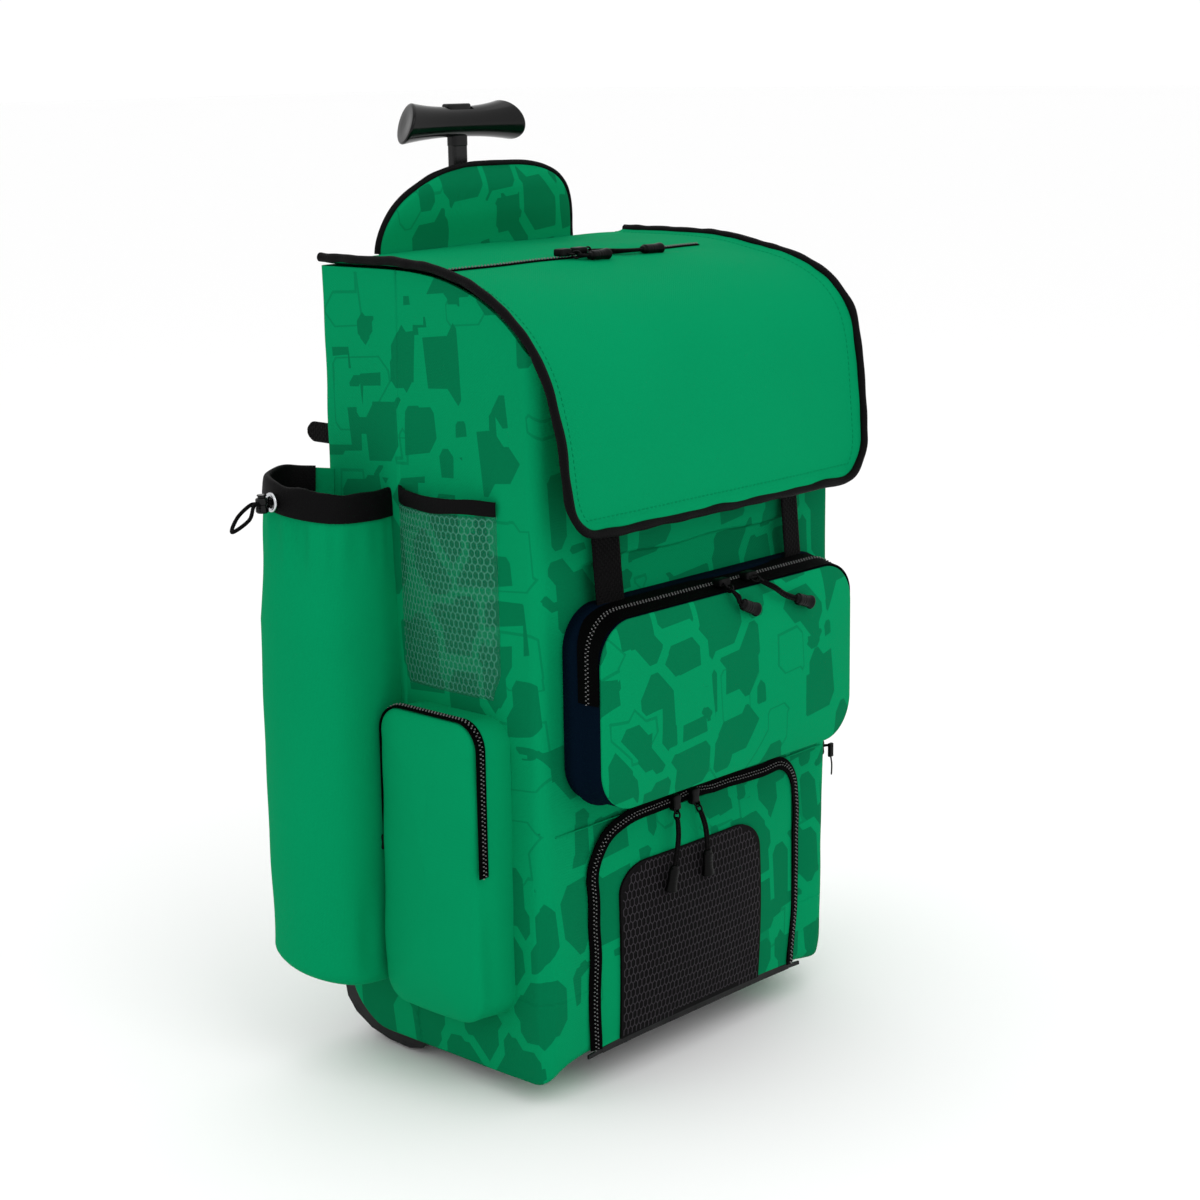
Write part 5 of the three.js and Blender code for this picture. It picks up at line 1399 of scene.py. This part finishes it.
gripSizes = dict(y=0.2505, z=0.730, mid=0.012, end=0.016, flare=2.2, half=0.057, slant=0.006, sweep=0.007,
                 round=0.0022, neckFoot=0.7105, neckTop=0.724, neckHalf=0.0084, neckDeep=0.0049,
                 roomHalf=0.0131, roomDeep=0.0061, roomFloor=0.732)
buttonSizes = dict(half=0.0125, deep=0.0055, low=0.737, top=0.7445, round=0.0018)
blockCorner = 0.003  # the upright edges of the neck and the button


def makeHandle():
    # hourglass along x: the radius grows with a power of the distance from the middle; the end faces slant,
    # longer underneath and in front
    g = gripSizes
    s = np.linspace(-1, 1, 121)
    radius = g["mid"] + (g["end"] - g["mid"]) * np.abs(s) ** g["flare"]
    turn = np.linspace(0, np.pi / 2, 7)[1:]
    straight = g["half"] - g["round"]
    tip = straight + g["round"] * np.sin(turn)
    tipRadius = g["end"] - g["round"] * (1 - np.cos(turn))
    reach = np.concatenate([-tip[::-1], s * straight, tip])
    radius = np.concatenate([tipRadius[::-1], radius, tipRadius])
    dish = np.array([0.0006, 0.0012])  # the end faces are slightly hollow
    reach = np.concatenate([(reach[0] + dish)[::-1], reach, reach[-1] - dish])
    radius = np.concatenate([[0.0006, radius[0] * 0.6], radius, [radius[-1] * 0.6, 0.0006]])
    section = radius[:, None, None] * circleProfile(1, 72)
    y, z = section[..., 0], section[..., 1]
    x = reach[:, None] * (1 - (g["slant"] * z + g["sweep"] * y) / g["end"] / g["half"])
    inRoom = (np.abs(x) < g["roomHalf"]) & (np.abs(y) < g["roomDeep"]) & (z > 0)
    z = np.where(inRoom, g["roomFloor"] - g["z"], z)
    grid = np.stack([x, y + g["y"], z + g["z"]], axis=-1)
    grip = solidPiece("gripBar", grid, glossBlack, body="handle", sharp=40)
    centre = (0, g["y"])
    neck = blockPiece("gripNeck", centre, (g["neckHalf"], g["neckDeep"]), (g["neckFoot"], g["neckTop"]),
                      blockCorner, 0.0008, glossBlack, "handle")
    b = buttonSizes
    button = blockPiece("gripButton", centre, (b["half"], b["deep"]), (b["low"], b["top"]),
                        blockCorner, b["round"], glossBlack, "button")
    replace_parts(grip, "handle_grip")
    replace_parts(neck, "handle_grip")
    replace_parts(button, "handle_button")


def blockPiece(name, centre, half, span, corner, edge, material, body="bag"):
    # a round-cornered block standing on z, with its upper and lower edges rolled over
    turn = np.linspace(0, np.pi / 2, 6)
    roll = edge * (1 - np.sin(turn))
    inset = edge * (1 - np.cos(turn))
    z = np.concatenate([span[0] + roll[::-1], span[1] - roll])
    inset = np.concatenate([inset[::-1], inset])
    x0, x1 = centre[0] - half[0] + inset, centre[0] + half[0] - inset
    y0, y1 = centre[1] - half[1] + inset, centre[1] + half[1] - inset
    ring = roundRing(x0, x1, y0, y1, [np.maximum(corner - inset, 0.0003)] * 4, 6, 4, 4)
    grid = np.concatenate([ring, np.broadcast_to(z[:, None, None], (*ring.shape[:2], 1))], axis=-1)
    return solidPiece(name, grid, material, body=body, sharp=35)


makeHandle()
print("handle made")


# wheels

wheelSizes = dict(x=0.151, y=0.194, radius=0.038, width=0.019, shoulder=0.006, rim=0.027, boss=0.012,
                  bore=0.0046, slots=30, slotDeep=0.0009, spokes=5, spokeHigh=0.0035)


def turnedPiece(name, side, profile, count, material, body, shape):
    # a closed outline of radius and width turned about the axle
    w = wheelSizes
    angle = np.linspace(0, 2 * np.pi, count, endpoint=False)
    r, x = (np.broadcast_to(column, (count, len(profile))) for column in profile.T)
    r, x = shape(r, x, angle[:, None])
    y = w["y"] + r * np.cos(angle)[:, None]
    z = w["radius"] + r * np.sin(angle)[:, None]
    grid = np.stack([side * w["x"] + x, y, z], axis=-1)
    return torusPiece(name, grid, material, body=body, sharp=40)


def makeWheels():
    # outlines of radius and width: a tyre with round shoulders, and a hub with a boss and a rim
    w = wheelSizes
    half, low = w["width"] / 2, w["radius"] - w["shoulder"]
    turn = np.linspace(0, np.pi / 2, 8)
    upTo = w["shoulder"] * np.sin(turn)
    outTo = w["shoulder"] * np.cos(turn)
    shoulder = np.stack([low + upTo, half - w["shoulder"] + outTo], axis=1)
    across = np.linspace(half - w["shoulder"], w["shoulder"] - half, 7)[1:-1]
    top = np.stack([np.full(len(across), w["radius"]), across], axis=1)
    outer = np.vstack([[(w["rim"], half)], shoulder, top, shoulder[::-1] * (1, -1), [(w["rim"], -half)]])
    boss, rim = w["boss"], w["rim"]
    hub = np.array([(w["bore"], half), (boss - 0.001, half), (boss, half - 0.001),
                    (boss + 0.001, half - 0.004), (rim - 0.006, half - 0.005), (rim - 0.004, half - 0.0012),
                    (rim - 0.0012, half - 0.0006), (rim - seat, half - 0.0016)])
    hub = np.vstack([hub, (hub * (1, -1))[::-1]])

    def grooves(r, x, angle):  # shallow slots across the shoulders
        slot = hump((angle * w["slots"] / np.pi) % 2, 1, 0.45)
        return r - w["slotDeep"] * slot * (r > w["radius"] - 0.003) * (np.abs(x) > 0.0025), x

    def spokes(r, x, angle):  # raised spokes between boss and rim
        spoke = hump((angle * w["spokes"] / (2 * np.pi)) % 1 - 0.5, 0, 0.22)
        between = hump(r, (boss + rim) / 2 - 0.002, 0.008)
        return r, x + np.sign(x) * w["spokeHigh"] * spoke * (between > 0)

    for name, side in sides.items():
        tyre = turnedPiece(f"tyre_{name}", side, outer, 180, tyreRubber, f"wheel_{name}", grooves)
        hubPiece = turnedPiece(f"hub_{name}", side, hub, 90, hubPlastic, f"wheel_{name}", spokes)
        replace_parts(tyre, f"wheel_tyre_{name}")
        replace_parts(hubPiece, f"wheel_hub_{name}")


makeWheels()
print("wheels made")


# zip pulls: slider, two links, a doubled cord and a moulded end

pullSizes = dict(link=0.0027, wire=0.0008, cord=0.0013, apart=0.0012, endLong=0.0225, endWide=0.0056,
                 endThick=0.0045, linksAt=(0.0062, 0.0108), cordFrom=0.012)
sliderSizes = dict(long=0.0065, wide=0.0045, thick=0.003, power=0.35, waist=0.18)
onLid = lambda x, y, up=0.0042: (x, y, lidHeight(x, y) + up)
onFace, onDoor = -0.0498, -0.0166
pocketTop, doorTop = (-0.031, 0.3872), doorSizes["top"]  # y and z on the pocket's zip, z on the door's
sliderY = lambda x: -(doorOut(np.array(x), np.array(doorTop - 0.0065)) + seat + 0.003)
pulls = {
    "lid_pull_right": [onLid(-0.020, 0.098, 0.0055), onLid(0.006, 0.098), onLid(0.026, 0.091),
                       onLid(0.064, 0.087)],
    "lid_pull_left": [onLid(-0.038, 0.098, 0.0055), onLid(-0.024, 0.089), onLid(0.002, 0.087)],
    "front_pull_left": [(-0.004, *pocketTop), (-0.007, onFace, 0.379), (-0.004, onFace, 0.374),
                        (0.017, onFace, 0.364)],
    "front_pull_right": [(0.028, *pocketTop), (0.036, onFace, 0.379), (0.051, onFace, 0.370),
                         (0.084, onFace, 0.358)],
    "door_pull_left": [(-0.032, sliderY(-0.032), doorTop), (-0.040, onDoor, 0.190), (-0.050, onDoor, 0.146)],
    "door_pull_right": [(-0.010, sliderY(-0.010), doorTop), (-0.008, onDoor, 0.190), (-0.005, onDoor, 0.148)],
}  # each from its slider to its tip


def linkPiece(name, centre, along, other, material):  # a small ring of wire in the plane of two directions
    p = pullSizes
    spoke = spokesOf(along * 1.25, other, 28)
    wire = circleProfile(p["wire"], 8)
    grid = centre + spoke[:, None] * p["link"] + unit(spoke)[:, None] * wire[None, :, :1]
    return torusPiece(name, grid + np.cross(along, other) * wire[None, :, 1:], material)


def makePull(node, points):
    # links, cord and moulded end, all along one curve from the slider to the tip
    p = pullSizes
    path = curveThrough(points, 160)
    along = unit(np.gradient(path, axis=0))
    length = lengthsOf(path).sum()
    out = np.array((0, 0, 1.0)) if node.startswith("lid") else np.array((0, -1.0, 0))
    share = np.linspace(0, 1, len(path))
    endFrom = 1 - p["endLong"] / length
    pieces = []
    for k, reach in enumerate(p["linksAt"]):  # two links, one across the other
        at = int(reach / length * len(path))
        side = unit(np.cross(along[at], out))
        other = np.cross(side, along[at]) if k else side
        pieces.append(linkPiece(f"{node}_link{k}", path[at], along[at], other, pullRubber))
    cordLine = spaced(path[(share > p["cordFrom"] / length) & (share < endFrom + 0.06)], 60)
    side = framesAlong(cordLine, out)[1]
    pinch = p["apart"] * (0.8 + 0.2 * np.sin(np.pi * np.linspace(0, 1, 60)))[:, None]
    for k in (-1, 1):
        line = cordLine + side * pinch * k
        pieces.append(tubePiece(f"{node}_cord{k + 1}", line, p["cord"], blackWeb, up=out, count=8))

    # moulded end: an oval section, narrower at the cord, with a collar and shallow ribs
    endLine = spaced(path[share >= endFrom], 60)
    t = np.linspace(0, 1, 60)
    closing = np.sqrt(np.clip(1 - (2 * t - 1) ** 24, 0.03, 1))
    flare = 0.62 + 0.22 * softStep((t - 0.1) / 0.06) + 0.16 * softStep((t - 0.65) / 0.3)
    size = flare * closing * (1 - 0.06 * hump((t * 8) % 1, 0.5, 0.4) * hump(t, 0.45, 0.25))
    oval = circleProfile(1, 24) * (p["endWide"], p["endThick"])
    grid = sweep(endLine, oval[None] * size[:, None, None], out)
    pieces.append(solidPiece(f"{node}_end", grid, pullRubber))
    pieces.append(sliderPiece(f"{node}_slider", np.array(points[0], float), node.startswith("door")))
    for piece in pieces:
        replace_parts(piece, node)


def sliderPiece(name, centre, upright):
    # superellipsoid block, drawn in a little at its waist
    s = sliderSizes
    up = np.linspace(-np.pi / 2, np.pi / 2, 21)[1:-1]
    about = np.linspace(-np.pi, np.pi, 28, endpoint=False)
    u, v = np.meshgrid(up, about, indexing="ij")
    power = lambda c: np.sign(c) * np.abs(c) ** s["power"]
    x = power(np.cos(u)) * power(np.cos(v))
    y = power(np.cos(u)) * power(np.sin(v))
    z = power(np.sin(u))
    waist = 1 - s["waist"] * hump(z if upright else x, 0, 0.7)
    if upright:
        x, half = x * waist, (s["wide"], s["thick"], s["long"])
    else:
        y, half = y * waist, (s["long"], s["wide"], s["thick"])
    return solidPiece(name, centre + np.stack([x, y, z], axis=-1) * half, pullRubber, sharp=40)


for node, points in pulls.items():
    makePull(node, points)


sideSliderSizes = dict(link=0.0012, cord=0.0007, tabHalf=(0.0026, 0.0016), tabHigh=0.006, tabCorner=0.001,
                       tabEdge=0.0006, hang=(0, -0.001, -0.022))
sideSliders = {
    "left": [(-0.2000, 0.1450, 0.192), (-0.2035, 0.1480, 0.182)],
    "right": [(0.2035, 0.0345, 0.196), (0.2105, 0.0275, 0.194)],
}  # the slider's middle and its tab's


def makeSideSlider(name, head, tab):
    # a side zip's own slider with a short pull: a link, a small tab and a thin cord under it
    s = sideSliderSizes
    head, tab = np.array(head), np.array(tab)
    tip = tab + s["hang"]
    heights = tab[2] + s["tabHigh"] * np.array([-1, 1])
    link = curveThrough([head, (head + tab) / 2 + (0, 0, 0.003), tab + (0, 0, 0.004)], 24)
    cord = curveThrough([tab - (0, 0, 0.005), (tab + tip) / 2 + (0.001, 0, -0.002), tip], 24)
    title = f"sideSlider_{name}"
    pieces = [
        sliderPiece(title, head, True),
        tubePiece(f"{title}_link", link, s["link"], blackWeb, up=(0, 1, 0.1), count=8),
        blockPiece(f"{title}_tab", tab[:2], s["tabHalf"], heights, s["tabCorner"], s["tabEdge"], pullRubber),
        tubePiece(f"{title}_cord", cord, s["cord"], blackWeb, up=(0, 1, 0.1), count=8),
    ]
    for piece in pieces:
        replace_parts(piece, f"side_zip_{name}")


for name, (head, tab) in sideSliders.items():
    makeSideSlider(name, head, tab)
print("zip pulls made")


# pieces of the frame that keep their own shape
kept = {"base_pan": mouldedBlack, "handle_housing": mouldedBlack, "handle_post": postBlack,
        "wheel_axle_left": axleSteel, "wheel_axle_right": axleSteel}
for node, finish in kept.items():
    shown = bpy.data.objects[node]
    shown.data.materials.clear()
    shown.data.materials.append(finish["material"])
